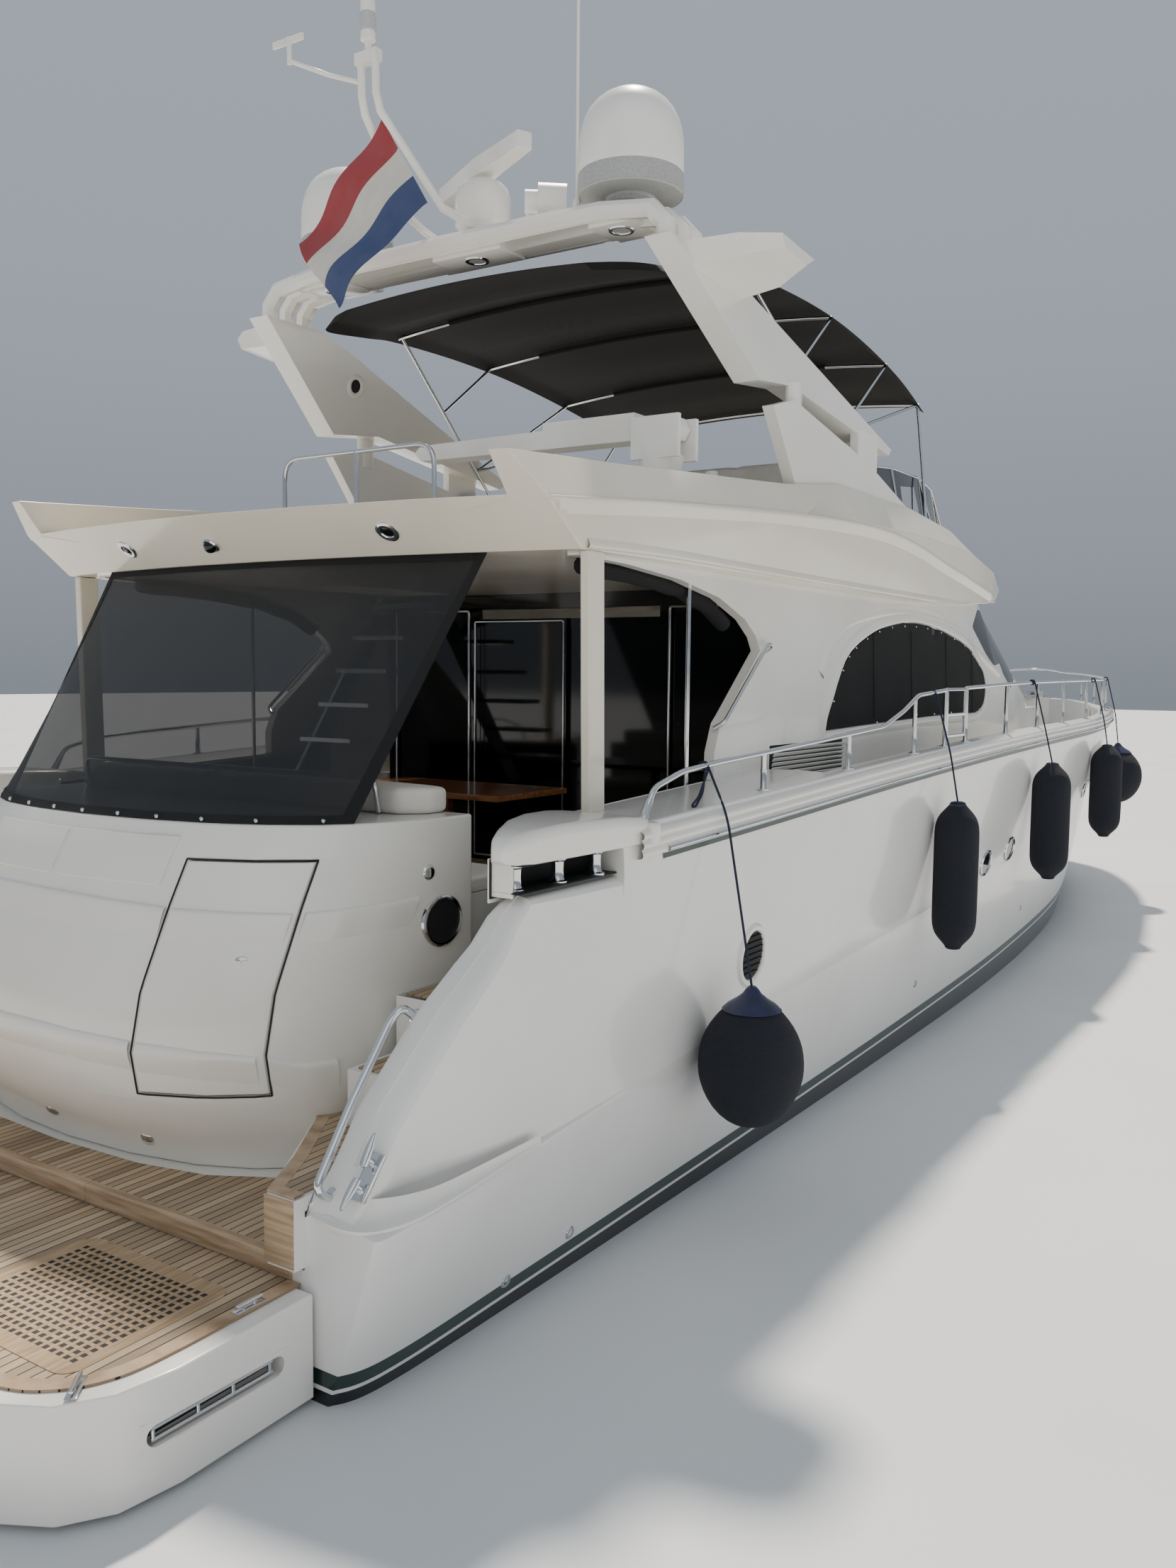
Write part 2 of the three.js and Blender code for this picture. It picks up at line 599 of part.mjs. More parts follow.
// y, z of what is cut away aft of the swept end of the side wall
const sweep = [
  [1500, 1900],
  [DECK_STARTS + GAP, 1900],
  [DECK_STARTS + GAP, capZ(DECK_STARTS) + GAP],
  [3620, capZ(3620) + GAP],
  [3620, 2480],
  [3700, 2660],
  [4290, 3130],
  [4230, 3220],
  [4060, 3330],
  [3700, 3450],
  [3200, 3530],
  [2600, 3575],
  [2000, 3590],
  [1500, 3590],
];
let house = cut(houseBody(0), houseBody(WALL, 20));
house = cut(house, above, prism(sweep, 'x', -3000, 3000));

// y, z of the arched side window and of the side of the windscreen
const sideWindow = [
  [5330, 2560],
  [5680, 3010],
  [5960, 3190],
  [6470, 3340],
  [7090, 3420],
  [7720, 3420],
  [8500, 3330],
  [9100, 3190],
  [9560, 2960],
  [9300, 2640],
];
const quarterLight = [
  [9250, 3460],
  [9500, 3640],
  [10350, 3640],
  [11250, 3220],
  [10000, 3080],
  [9700, 3200],
];
// x, y of the windscreen glass and of the openings behind it, seen from above
const frontGlass = [
  [0, 13130],
  [620, 13060],
  [1200, 12720],
  [1640, 12000],
  [1880, 10900],
  [1840, 9900],
  [1600, 10350],
  [1150, 10800],
  [600, 11030],
  [0, 11080],
];
const frontPlan = [...frontGlass, ...frontGlass.slice(1, -1).map(([x, y]) => [-x, y]).reverse()];
const centrePane = [[-540, 11300], [540, 11300], [560, 12940], [-560, 12940]];
const sidePane = [[700, 11250], [1160, 11000], [1520, 11500], [1180, 12500], [720, 12880]];
const HOLE_GROWTH = GAP;
const REBATE = 30;
const GLASS_OUT = 4;
const GLASS_IN = 22;
const glazing = (growth) => join(
  prism(grown(frontPlan, growth), 'z', 2740, 4200)
    .intersect(box(-3000, 3000, 9950 - growth, 14000, 2740, 3745 + growth)),
  bothSides(prism(grown(quarterLight, growth), 'x', 1500, 2300)),
);
house = cut(house, cut(glazing(HOLE_GROWTH), houseBody(REBATE, 20)));
house = cut(
  house,
  bothSides(prism(grown(sideWindow, HOLE_GROWTH), 'x', 1500, 2300)),
  bothSides(prism(grown(quarterLight, -30), 'x', 1500, 2300)),
  bothSides(prism(sidePane, 'z', 2740, 4200)),
  prism(centrePane, 'z', 2740, 4200),
);
add('deckhouse', house, 'gelcoat');

const glassSkin = cut(houseBody(GLASS_OUT), houseBody(GLASS_IN, 20));
add('windscreen', glassSkin.intersect(glazing(0)), 'glass');
const sideGlass = glassSkin.intersect(prism(sideWindow, 'x', 1500, 2300));
add('side_window_starboard', sideGlass, 'glass');
add('side_window_port', mirrored(sideGlass), 'glass');

// Saloon bulkhead: a steel frame with a fixed pane and a sliding door aft of it
const FRAME = { half: 1850, y0: 4900, y1: 4960, top: OVERHANG - GAP };
const frameOuter = box(-FRAME.half, FRAME.half, FRAME.y0, FRAME.y1, SOLE + GAP, FRAME.top);
const frameHole = (x0, x1) => box(x0, x1, FRAME.y0 - 10, FRAME.y1 + 10, SOLE + 90, FRAME.top - 120);
const openings = [frameHole(-1770, -950), frameHole(950, 1770)];
const doorHole = box(-870, 870, FRAME.y0 - 10, FRAME.y1 + 10, SOLE + 40, FRAME.top - 120);
const fixedPanes = [[950, 1770], [-1770, -950]].map(([x0, x1]) => (
  box(x0 - 5, x1 + 5, 4922, 4934, SOLE + 85, FRAME.top - 115)
));
const leaf = (x0, x1, y) => join(
  cut(box(x0, x1, y, y + 22, SOLE + 30, 3400), box(x0 + 70, x1 - 70, y - 50, y + 80, SOLE + 100, 3330)),
  box(x0 + 65, x1 - 65, y + 6, y + 16, SOLE + 95, 3335),
);
const fixedLeaf = leaf(-20, 870 - GAP, 4910).intersect(box(-100, 1000, 4900, 4960, SOLE + 40 + GAP, 3500));
add('saloon_frame', join(cut(frameOuter, ...openings, doorHole), ...fixedPanes), 'steel');
add('saloon_fixed_leaf', fixedLeaf, 'steel');
add('saloon_door', leaf(-900, 30, FRAME.y0 - 22 - GAP), 'steel');

// Foredeck: sunpad, locker hatch, windlass and anchor
const sunpad = loft([
  coachLoop(1010, 13600, 16150, COACH_TOP + GAP),
  coachLoop(980, 13630, 16100, COACH_TOP + 100),
], 2);
add('sunpad', sunpad, 'cushion');
add('locker_hatch', box(-430, 430, 16990, 17570, HATCH_SEAT + GAP, HATCH_SEAT + 36), 'gelcoat');
const windlass = join(
  box(-140, 140, 17760, 18060, SIDE_DECK + GAP, 2130),
  rod([0, 17910, 2120], [0, 17910, 2290], 85, 16),
);
add('windlass', windlass, 'steel');
const anchorSeat = join(
  box(-80, 80, 18980, 19760, 2600, 2650),
  box(-80, -62, 19200, 19760, 2600, 2720),
  box(62, 80, 19200, 19760, 2600, 2720),
);
const shank = rod([0, 19050, 2690], [0, 19800, 2690], 22, 8);
const flukePlan = [[-190, 2480], [0, 2760], [190, 2480], [0, 2300]];
const fluke = prism(flukePlan, 'y', 19775, 19805);
const anchorBody = join(anchorSeat, rod([0, 19080, 2640], [0, 19080, 2700], 30, 8), shank, fluke);
add('anchor', cut(anchorBody, hull.translate([0, 0, GAP])), 'steel');

// Fly helm, seats and windscreen
const consoleSide = [
  [7300, FLY_DECK + GAP],
  [8050, FLY_DECK + GAP],
  [8150, 4150],
  [7950, 4420],
  [7500, 4560],
  [7330, 4480],
];
add('helm_console', prism(consoleSide, 'x', 250, 1350), 'gelcoat');
const helmSeatSide = [
  [6200, FLY_DECK + GAP],
  [6800, FLY_DECK + GAP],
  [6850, 4180],
  [6420, 4200],
  [6350, 4700],
  [6220, 4700],
];
add('helm_seat', prism(helmSeatSide, 'x', 300, 1300), 'cushion');
const sofaPlan = [[-1880, 5200], [-1880, 6950], [-1330, 6950], [-1330, 5750], [-300, 5750], [-300, 5200]];
add('fly_sofa', prism(sofaPlan, 'z', FLY_DECK + GAP, 4200), 'cushion');

// x, y of the windscreen's foot and of its top edge, with the foot and top levels
const SCREEN = [
  [1938, 6000, 4300, 1930, 6000, 4600],
  [1938, 7000, 4300, 1890, 6950, 4700],
  [1900, 8000, 4200, 1800, 7900, 4745],
  [1760, 8850, 4080, 1680, 8600, 4735],
  [1300, 9180, 4020, 1150, 8800, 4735],
  [700, 9330, 3980, 600, 8950, 4735],
  [0, 9400, 3960, 0, 9000, 4735],
];
const SCREEN_THICK = 10;
function screenLoop(row, side) {
  const [fx, fy, fz, tx, ty, tz] = row;
  const [dx, dy] = fx > 1900 ? [SCREEN_THICK, 0] : [SCREEN_THICK * 0.5, SCREEN_THICK];
  return [
    [side * fx, fy, fz],
    [side * (fx - dx), fy - dy, fz],
    [side * (tx - dx), ty - dy, tz],
    [side * tx, ty, tz],
  ];
}
const frontRow = SCREEN[SCREEN.length - 1];
const centreLoop = [[0, frontRow[1], frontRow[2]], [0, frontRow[1] - SCREEN_THICK, frontRow[2]],
  [0, frontRow[4] - SCREEN_THICK, frontRow[5]], [0, frontRow[4], frontRow[5]]];
const screenLoops = [
  ...SCREEN.slice(0, -1).map((row) => screenLoop(row, -1)),
  centreLoop,
  ...SCREEN.slice(0, -1).reverse().map((row) => screenLoop(row, 1)),
];
const besideFly = [flybridge, flybridge.translate([0, 0, GAP]), flybridge.translate([0, -GAP, 0])];
add('fly_windscreen', cut(loft(screenLoops), ...besideFly), 'clear');

// Radar arch

// y, z outlines of the leg's panel and of the fin that carries it
const legPanel = [
  [3330, LEG_TOP],
  [3900, LEG_TOP],
  [4270, 5500],
  [6570, 4780],
  [6480, 4720],
  [4720, 4940],
  [4200, 4880],
];
const fin = [[4330, 4740], [4660, 4830], [6080, 4590], [7050, 4330], [6950, 4150], [4800, 4150]];
const LEAN = 0.25;
// The leg leans outward as it goes down
function leaned(body) {
  return body.warp((v) => {
    v[0] += (LEG_TOP - v[2]) * LEAN;
  });
}
const panel = leaned(prism(legPanel, 'x', 1630, 1820));
const finBody = cut(prism(fin, 'x', 1955, 2040), flybridge.translate([0, 0, GAP]));
const OVAL_SIDES = 16;
function oval(cx, cy, rx, ry) {
  return Array.from({ length: OVAL_SIDES }, (_, k) => {
    const turn = (k * 2 * Math.PI) / OVAL_SIDES;
    return [cx + rx * Math.cos(turn), cy + ry * Math.sin(turn)];
  });
}
const post = prism(oval(1985, 4760, 48, 90), 'z', 4700, 4960);
const foot = box(1965, 2030, 5850, 6250, 4560, 4830);
const sideWing = loft([
  [[1780, 3480, 5590], [1780, 3520, 5440], [1780, 4150, 5380], [1780, 4330, 5480]],
  [[2150, 3560, 5600], [2150, 3600, 5480], [2150, 4150, 5430], [2150, 4320, 5530]],
  [[2370, 3700, 5600], [2370, 3740, 5530], [2370, 4050, 5500], [2370, 4180, 5570]],
], 0);
const leg = join(panel, finBody, post, foot, sideWing);
add('arch_leg_starboard', leg, 'gelcoat');
add('arch_leg_port', mirrored(leg), 'gelcoat');

// Three crowned tubes cross between the legs, with a plate for the aerials
const CROSS_RADIUS = 58;
const crossYs = [3440, 3615, 3790];
let bridge = box(-1500, 1500, 3440, 3790, 5795, 5835);
for (const y of crossYs) {
  const half = [[1722, y, LEG_TOP + GAP], [1715, y, 5700], [1620, y, 5800], [1250, y, 5850]];
  const path = [...half, [0, y, 5866], ...half.map(([x, b, z]) => [-x, b, z]).reverse()];
  bridge = join(bridge, pipe(path, CROSS_RADIUS, 8));
}
bridge = cut(bridge, box(-2500, 2500, 3000, 4500, 5000, LEG_TOP + GAP));
const DOME = { x: 1250, y: 3790, seat: 190 };
const halfPad = box(-DOME.seat, DOME.seat, -DOME.seat, DOME.seat, 5840, BRIDGE_PLATE);
const domePad = halfPad.translate([DOME.x, DOME.y, 0]);
const pads = [domePad, mirrored(domePad), box(-420, 930, 3440, 3980, 5860, BRIDGE_PLATE)];

// radius, height
const domeProfile = [
  [0, 0],
  [DOME.seat, 0],
  [DOME.seat, 25],
  [150, 60],
  [160, 100],
  [335, 110],
  [340, 410],
  [325, 530],
  [278, 640],
  [195, 722],
  [98, 770],
  [0, 785],
];
for (const [side, x] of [['starboard', DOME.x], ['port', -DOME.x]]) {
  const dome = add(`dome_${side}`, turned(domeProfile, 18), 'plastic');
  dome.position.set(x, DOME.y, BRIDGE_PLATE + GAP);
}

// radius, height of the scanner's column and drum
const pedestalProfile = [
  [0, -10],
  [120, -10],
  [120, 70],
  [150, 110],
  [195, 160],
  [200, 330],
  [180, 410],
  [140, 450],
  [0, 450],
];
const RADAR = { x: 0, y: 3840, turn: BRIDGE_PLATE + 450 + GAP, heading: -0.45 };
const pedestal = solid(turned(pedestalProfile, 20));
const WHIP = { x: 890, y: 3700, base: 5860, ferrule: 6060, top: 8500 };
const whip = join(
  rod([WHIP.x, WHIP.y, WHIP.base], [WHIP.x, WHIP.y, WHIP.ferrule], 26, 8),
  rod([WHIP.x, WHIP.y, WHIP.ferrule - 10], [WHIP.x, WHIP.y, WHIP.top], 11, 6),
);
const scannerColumn = pedestal.translate([RADAR.x, RADAR.y, BRIDGE_PLATE]);
add('arch_bridge', join(bridge, ...pads, scannerColumn, whip), 'gelcoat');
const scannerBar = loft([
  [[-620, -55, 40], [-620, 55, 40], [-620, 55, 150], [-620, -55, 150]],
  [[0, -75, 40], [0, 75, 40], [0, 75, 165], [0, -75, 165]],
  [[620, -55, 40], [620, 55, 40], [620, 55, 150], [620, -55, 150]],
], 0);
const scanner = add('radar_scanner', join(scannerBar, rod([0, 0, 0], [0, 0, 60], 60, 16)), 'plastic');
scanner.position.set(RADAR.x, RADAR.y, RADAR.turn);
scanner.rotation.z = RADAR.heading;

// Raked tube mast on two feet, with its lamp and the wind vane on an arm
const MAST_TOP = 6800;
const MAST_TUBE = 26;
const mastLeg = [
  [200, 3640, BRIDGE_PLATE + GAP - 10],
  [190, 3560, 5955],
  [180, 3420, 5972],
  [150, 3220, 6005],
  [100, 2950, 6257],
  [65, 2720, 6460],
  [60, 2685, 6560],
  [60, 2680, MAST_TOP],
];
const mastTube = pipe(mastLeg, MAST_TUBE, 8);
const crossHead = box(-90, 90, 2650, 2710, MAST_TOP - 60, MAST_TOP + 12);
const lampPost = rod([0, 2680, MAST_TOP], [0, 2680, 6900], 22, 10);
const lampHead = rod([0, 2680, 6880], [0, 2680, 7110], 48, 12);
const vaneArm = pipe([[-60, 2680, 6640], [-220, 2560, 6680], [-420, 2420, 6760]], 14, 6);
const vane = join(
  rod([-420, 2420, 6740], [-420, 2420, 6900], 16, 8),
  box(-560, -300, 2412, 2428, 6860, 6900),
);
const mastFeet = box(-500, 500, 2900, 4500, 5000, BRIDGE_PLATE + GAP);
const mastTubes = join(mastTube, mirrored(mastTube), crossHead);
const mast = cut(join(mastTubes, lampPost, lampHead, vaneArm, vane), mastFeet);
add('mast', mast, 'gelcoat');

// Loudhailer: a canister lying across the plate on two posts
const horn = join(
  rod([540, 3600, 6090], [615, 3654, 6090], 75, 12),
  rod([610, 3650, 6085], [765, 3760, 6080], 125, 12),
  rod([545, 3630, BRIDGE_PLATE + GAP], [545, 3630, 6090], 14, 8),
  rod([700, 3690, BRIDGE_PLATE + GAP], [700, 3690, 6080], 16, 8),
);
add('horn', horn, 'gelcoat');

// Flag: a soft sheet laced to the starboard mast tube, drooping down and to port
// across, x, y, upper edge, x, y, lower edge
const FLAG = [
  [45.5, 2752, 6430, 103.5, 3120, 6020],
  [-90, 2770, 6330, -10, 3000, 5860],
  [-230, 2760, 6200, -110, 2900, 5700],
  [-380, 2750, 6060, -220, 2840, 5560],
  [-540, 2750, 5920, -330, 2800, 5440],
  [-690, 2750, 5790, -400, 2780, 5350],
];
const FLAG_THICK = 6;
const flagLoops = FLAG.map(([x, y, z, lowX, lowY, lowZ]) => [
  [x, y, z],
  [x, y + FLAG_THICK, z],
  [lowX, lowY + FLAG_THICK, lowZ],
  [lowX, lowY, lowZ],
]);
add('flag', loft(flagLoops, 0, true), 'flag');

// Bimini: a crowned canopy on bent steel hoops

const CROWN = 90;
const CANOPY_THICK = 14;
// y, half width, edge level, crown
const CANOPY = [
  [3560, 1120, 5600, 50],
  [3640, 1330, 5592, 70],
  [3800, 1460, 5604, 86],
  [4300, 1540, 5680, CROWN],
  [4800, 1680, 5770, CROWN],
  [5700, 1720, 5800, CROWN],
  [6600, 1720, 5760, CROWN],
  [7600, 1700, 5640, CROWN],
  [8420, 1660, 5480, CROWN],
];
function canopyLoop([y, half, z, crown]) {
  const top = [];
  const low = [];
  for (const u of [-1, -0.75, -0.4, 0, 0.4, 0.75, 1]) {
    const rise = crown * (1 - u * u);
    top.push([u * half, y, z + rise]);
    low.unshift([u * half, y, z + rise - CANOPY_THICK]);
  }
  return [...top, ...low];
}
const canopy = loft(CANOPY.map(canopyLoop));
add('bimini_canopy', canopy, 'canvas');
let frame = null;
const BIMINI_TUBE = 13;
const hoopRows = [4800, 6100, 7350, 8300];
for (const y of hoopRows) {
  const half = between(CANOPY, y, 1) - 30;
  const z = between(CANOPY, y, 2) - CANOPY_THICK - BIMINI_TUBE + 2;
  const points = [-1, -0.75, -0.4, 0, 0.4, 0.75, 1].map((u) => [u * half, y, z + CROWN * (1 - u * u)]);
  const hoop = pipe(points, BIMINI_TUBE, 6);
  frame = frame ? join(frame, hoop) : hoop;
}
function hoopEnd(y, inset = 40) {
  const [half, edge] = [1, 2].map((column) => between(CANOPY, y, column));
  return [half - inset, y, edge - CANOPY_THICK - BIMINI_TUBE + 2];
}
const legFoot = [COAMING_INSIDE + 6, 6790, 4270];
const onLeg = (t) => {
  const top = hoopEnd(4800, 80);
  return top.map((v, k) => v + (legFoot[k] - v) * t);
};
const struts = [
  [onLeg(0), legFoot],
  [hoopEnd(6100), onLeg(0.33)],
  [hoopEnd(7350), onLeg(0.62)],
  [hoopEnd(8300), onLeg(0.62)],
  [hoopEnd(8300), [1994, 7585, 4255]],
];
for (const [a, b] of struts) frame = join(frame, bothSides(rod(a, b, BIMINI_TUBE, 6)));
const aroundFly = [[0, 0, 0], [0, 0, GAP], [GAP, 0, 0], [-GAP, 0, 0]].map((shift) => flybridge.translate(shift));
add('bimini_frame', cut(frame, ...aroundFly, canopy.translate([0, 0, -GAP])), 'steel');

// Sunshade: mesh stretched from the overhang down to the island
const shadeLoops = [];
const SHADE = { columns: 10, half: 1560, lowHalf: 1400, thick: 8, edge: 8 };
for (let i = 0; i <= SHADE.columns; i += 1) {
  const u = (2 * i) / SHADE.columns - 1;
  const topX = u * SHADE.half;
  const lowX = u * SHADE.lowHalf;
  const topY = 1760 + 230 * (topX / 2110) ** 2;
  const topLevel = ISLAND_LEVELS[ISLAND_LEVELS.length - 1];
  const lowY = topLevel[1] + between(ISLAND_PLAN, Math.abs(lowX), 1) + SHADE.edge;
  shadeLoops.push([
    [topX, topY, OVERHANG - GAP],
    [topX, topY + SHADE.thick, OVERHANG - GAP],
    [lowX, lowY + SHADE.thick, TRANSOM_TOP + GAP],
    [lowX, lowY, TRANSOM_TOP + GAP],
  ]);
}
add('sunshade', loft(shadeLoops, 0, true), 'canvas');

// Rolled side curtains under the overhang
const CURTAIN_RADIUS = 52;
const curtainLine = [
  [1866, 2330, OVERHANG + 4 - CURTAIN_RADIUS],
  [1866, 2900, 3535],
  [1866, 3400, 3490],
  [1866, 3750, 3410],
  [1866, 4000, 3300],
];
const curtain = cut(pipe(curtainLine, CURTAIN_RADIUS, 10), flybridge.translate([0, 0, -GAP]));
add('side_curtain_starboard', curtain, 'canvas');
add('side_curtain_port', mirrored(curtain), 'canvas');

// Davit: base and column to starboard, boom stowed across to port
const DAVIT = { x: 1640, y: 3560, pivotZ: 4490 };
const davitFoot = [[0, 0], [190, 0], [190, 30], [150, 60], [150, 400], [0, 400]];
const davitBase = add('davit_base', turned(davitFoot, 20), 'plastic');
davitBase.position.set(DAVIT.x, DAVIT.y, FLY_DECK + GAP);
const columnFoot = FLY_DECK + 400 + 2 * GAP;
const column = join(
  rod([DAVIT.x, DAVIT.y, columnFoot], [DAVIT.x, DAVIT.y, 4330], 140, 16),
  box(DAVIT.x - 150, DAVIT.x + 190, DAVIT.y - 130, DAVIT.y - 95, 4300, 4560),
  box(DAVIT.x - 150, DAVIT.x + 190, DAVIT.y + 95, DAVIT.y + 130, 4300, 4560),
);
add('davit_column', column, 'plastic');
const boomPlan = [
  [DAVIT.x + 120, 4425],
  [DAVIT.x + 160, 4490],
  [DAVIT.x + 120, 4560],
  [DAVIT.x - 1900, 4545],
  [DAVIT.x - 1960, 4500],
  [DAVIT.x - 1900, 4440],
];
const pinHalf = 95 - GAP;
const boom = join(
  prism(boomPlan, 'y', DAVIT.y - 85, DAVIT.y + 85),
  box(DAVIT.x - 850, DAVIT.x - 150, DAVIT.y - 88, DAVIT.y + 88, 4430, 4600),
  rod([DAVIT.x, DAVIT.y - pinHalf, DAVIT.pivotZ], [DAVIT.x, DAVIT.y + pinHalf, DAVIT.pivotZ], 34, 12),
);
add('davit_boom', boom, 'plastic');

// White ball stowed beside the davit, and the aft rail of the flybridge
const ballProfile = [
  [0, 0],
  [110, 12],
  [200, 70],
  [262, 160],
  [275, 270],
  [250, 380],
  [180, 480],
  [90, 530],
  [40, 545],
  [40, 580],
  [0, 580],
];
const ball = add('stowed_ball', turned(ballProfile, 16), 'plastic');
ball.position.set(1540, 4420, FLY_DECK + GAP);
const RAIL_FOOT = FLY_DECK + GAP;
const aftRail = [[-640, 4230], [-600, 4320], [-510, 4350]];
const railHalf = [[-640, RAIL_FOOT], ...aftRail];
const railPoints = bothHalves(railHalf).map(([x, z]) => [x, 2550, z]);
const railPost = rod([0, 2550, RAIL_FOOT], [0, 2550, 4350], 14, 8);
add('fly_aft_rail', join(pipe(railPoints, 16, 8), railPost), 'steel');

// Guard rails on the bulwark cap
const RAIL_INSET = 75;
const RAIL_TUBE = 15;
const railX = (y) => between(hullRows, y, 7) - RAIL_INSET;
// y and height of the rail over the cap
const RAIL = [
  [2020, -10],
  [2120, 150],
  [2400, 205],
  [2770, 215],
  [4100, 225],
  [5200, 240],
  [5600, 330],
  [5900, 430],
  [6530, 445],
];
const lowRail = RAIL.map(([y, up]) => [railX(y), y, capZ(y) + up]);
const postYs = [3340, 4590, 5830];
let aftGuard = pipe(lowRail, RAIL_TUBE, 6);
for (const y of [...postYs, 6530]) {
  const [x, z] = [railX(y), capZ(y)];
  aftGuard = join(aftGuard, rod([x, y, z - 10], [x, y, z + between(RAIL, y, 1)], 12, 6));
}
const onCap = hull.translate([0, 0, GAP]);
aftGuard = cut(aftGuard, onCap);
add('guard_rail_starboard', aftGuard, 'steel');
add('guard_rail_port', mirrored(aftGuard), 'steel');

const HIGH = 445;
const forwardYs = [7060, 8270, 9440, 10630, 12030, 13690, 15100, 16400, 17500, 18350, 18950];
const highSide = forwardYs.map((y) => [Math.max(railX(y), 330), y, capZ(y) + HIGH]);
const nose = [[300, 19280, 3090], [0, 19400, 3100], [-300, 19280, 3090]];
const bowPath = [...highSide, ...nose, ...highSide.slice().reverse().map(([x, y, z]) => [-x, y, z])];
let bowRail = pipe(bowPath, RAIL_TUBE, 6);
for (const y of forwardYs) {
  const x = railX(y);
  const sides = y === forwardYs[0] ? 16 : 6;
  const top = [Math.max(x, 330), y, capZ(y) + HIGH];
  bowRail = join(bowRail, bothSides(rod([x, y, capZ(y) - 10], top, 12, sides)));
}
add('bow_rail', cut(bowRail, onCap), 'steel');

// Gates in the rail, hinged on the forward post
const GATE = { y0: 6550, y1: 7060 - 12 - GAP };
const gateX = railX(6700);
const gateZ = capZ(6700);
const gate = cut(
  box(gateX - 12, gateX + 12, GATE.y0, GATE.y1, gateZ + 60, gateZ + HIGH + 15),
  box(gateX - 50, gateX + 50, GATE.y0 + 26, GATE.y1 - 26, gateZ + 86, gateZ + 230),
  box(gateX - 50, gateX + 50, GATE.y0 + 26, GATE.y1 - 26, gateZ + 256, gateZ + HIGH - 11),
  box(gateX - 50, gateX + 50, GATE.y1 - 12, GATE.y1 + 5, gateZ + HIGH - 22, gateZ + HIGH + 20),
);
add('rail_gate_starboard', gate, 'steel');
add('rail_gate_port', mirrored(gate), 'steel');

// Fenders hung along the starboard side
const FENDER_CLEAR = 8;
const FENDER_LINE = 7;
// y, top of the body, radius, length, shape
const FENDERS = [
  [2650, 1290, 290, 760, 'ball'],
  [6240, 2010, 170, 1150, 'cylinder'],
  [9200, 2150, 180, 1130, 'cylinder'],
  [12500, 2180, 180, 1100, 'cylinder'],
  [14900, 2080, 320, 800, 'ball'],
];
const LINE_TOP_INSET = 4;

// Half the hull's width at a place and height above the knuckle
function sideAt(y, z) {
  const columns = [4, 5, 6, 7, 8];
  const [creaseX, creaseZ, shelfX, topX, railZ] = columns.map((column) => between(hullRows, y, column));
  const flank = [
    [creaseZ - 1200, creaseX],
    [creaseZ, creaseX],
    [(creaseZ + railZ) / 2, (shelfX + topX) / 2 + 15],
    [railZ, topX],
  ];
  return between(flank, Math.min(z, railZ), 1);
}
// radius share, height share of a ball and height of a cylinder from its eye
const ballFender = (r, length) => [
  [0, -length],
  [r * 0.5, -length + 30],
  [r * 0.88, -length * 0.78],
  [r, -length * 0.58],
  [r * 0.93, -length * 0.38],
  [r * 0.6, -length * 0.17],
  [60, -40],
  [45, 0],
  [0, 0],
];
const longFender = (r, length) => [
  [0, -length],
  [60, -length],
  [r * 0.55, -length + 50],
  [r, -length + 170],
  [r, -170],
  [r * 0.55, -50],
  [60, 0],
  [0, 0],
];
FENDERS.forEach(([y, top, radius, length, shape], i) => {
  const profile = shape === 'ball' ? ballFender(radius, length) : longFender(radius, length);
  let x = 0;
  for (const [r, h] of profile) {
    for (let turn = -1; turn <= 1; turn += 0.125) {
      const reach = r * Math.sqrt(1 - turn * turn);
      x = Math.max(x, sideAt(y + r * turn, top + h) + reach + FENDER_CLEAR);
    }
  }
  const body = solid(turned(profile, 18)).translate([x, y, top]);
  const path = (y < GATE.y1 ? lowRail : highSide).map(([px, py, pz]) => [py, px, pz]);
  const lineTop = [between(path, y, 1) + RAIL_TUBE - LINE_TOP_INSET, y, between(path, y, 2)];
  const overCap = Math.max(x - 20, between(hullRows, y, 7) + RUB_OUT + 20);
  const line = pipe([lineTop, [overCap, y, capZ(y) - 20], [x, y, top - 20]], FENDER_LINE, 6);
  const rails = y < GATE.y1 ? aftGuard : bowRail;
  add(`fender_${i + 1}`, cut(join(body, line), rails, rails.translate([GAP, 0, 0])), 'fender');
});

// Running gear
const blade = loft([
  [[-70, -60, 60], [-40, -75, 70], [70, 60, 60], [40, 75, 50]],
  [[-150, -50, 220], [-120, -62, 228], [150, 50, 220], [120, 62, 212]],
  [[-90, -25, 350], [-70, -33, 354], [90, 25, 350], [70, 33, 346]],
], 2);
let propeller = rod([0, -150, 0], [0, 160, 0], 85, 16);
for (let k = 0; k < 4; k += 1) propeller = join(propeller, blade.rotate([0, k * 90, 0]));
for (const [side, x] of [['starboard', SHAFT_X], ['port', -SHAFT_X]]) {
  const mesh = add(`propeller_${side}`, toGeometry(propeller), 'bronze');
  mesh.position.set(x, propHub[1], propHub[2]);
  const bladeSide = [
    [RUDDER_Y - 330, -720],
    [RUDDER_Y + 150, -720],
    [RUDDER_Y + 110, -1450],
    [RUDDER_Y - 210, -1450],
  ];
  const stock = rod([0, RUDDER_Y, -760], [0, RUDDER_Y, RUDDER_TOP - GAP], 45, 12);
  const rudder = join(prism(bladeSide, 'x', -24, 24), stock);
  const rudderMesh = add(`rudder_${side}`, toGeometry(rudder.translate([0, -RUDDER_Y, 0])), 'bronze');
  rudderMesh.position.set(x, RUDDER_Y, 0);
}

export default yacht;
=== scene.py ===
import json
import math

import bmesh
import bpy
from mathutils import Matrix, Vector
from mathutils.bvhtree import BVHTree


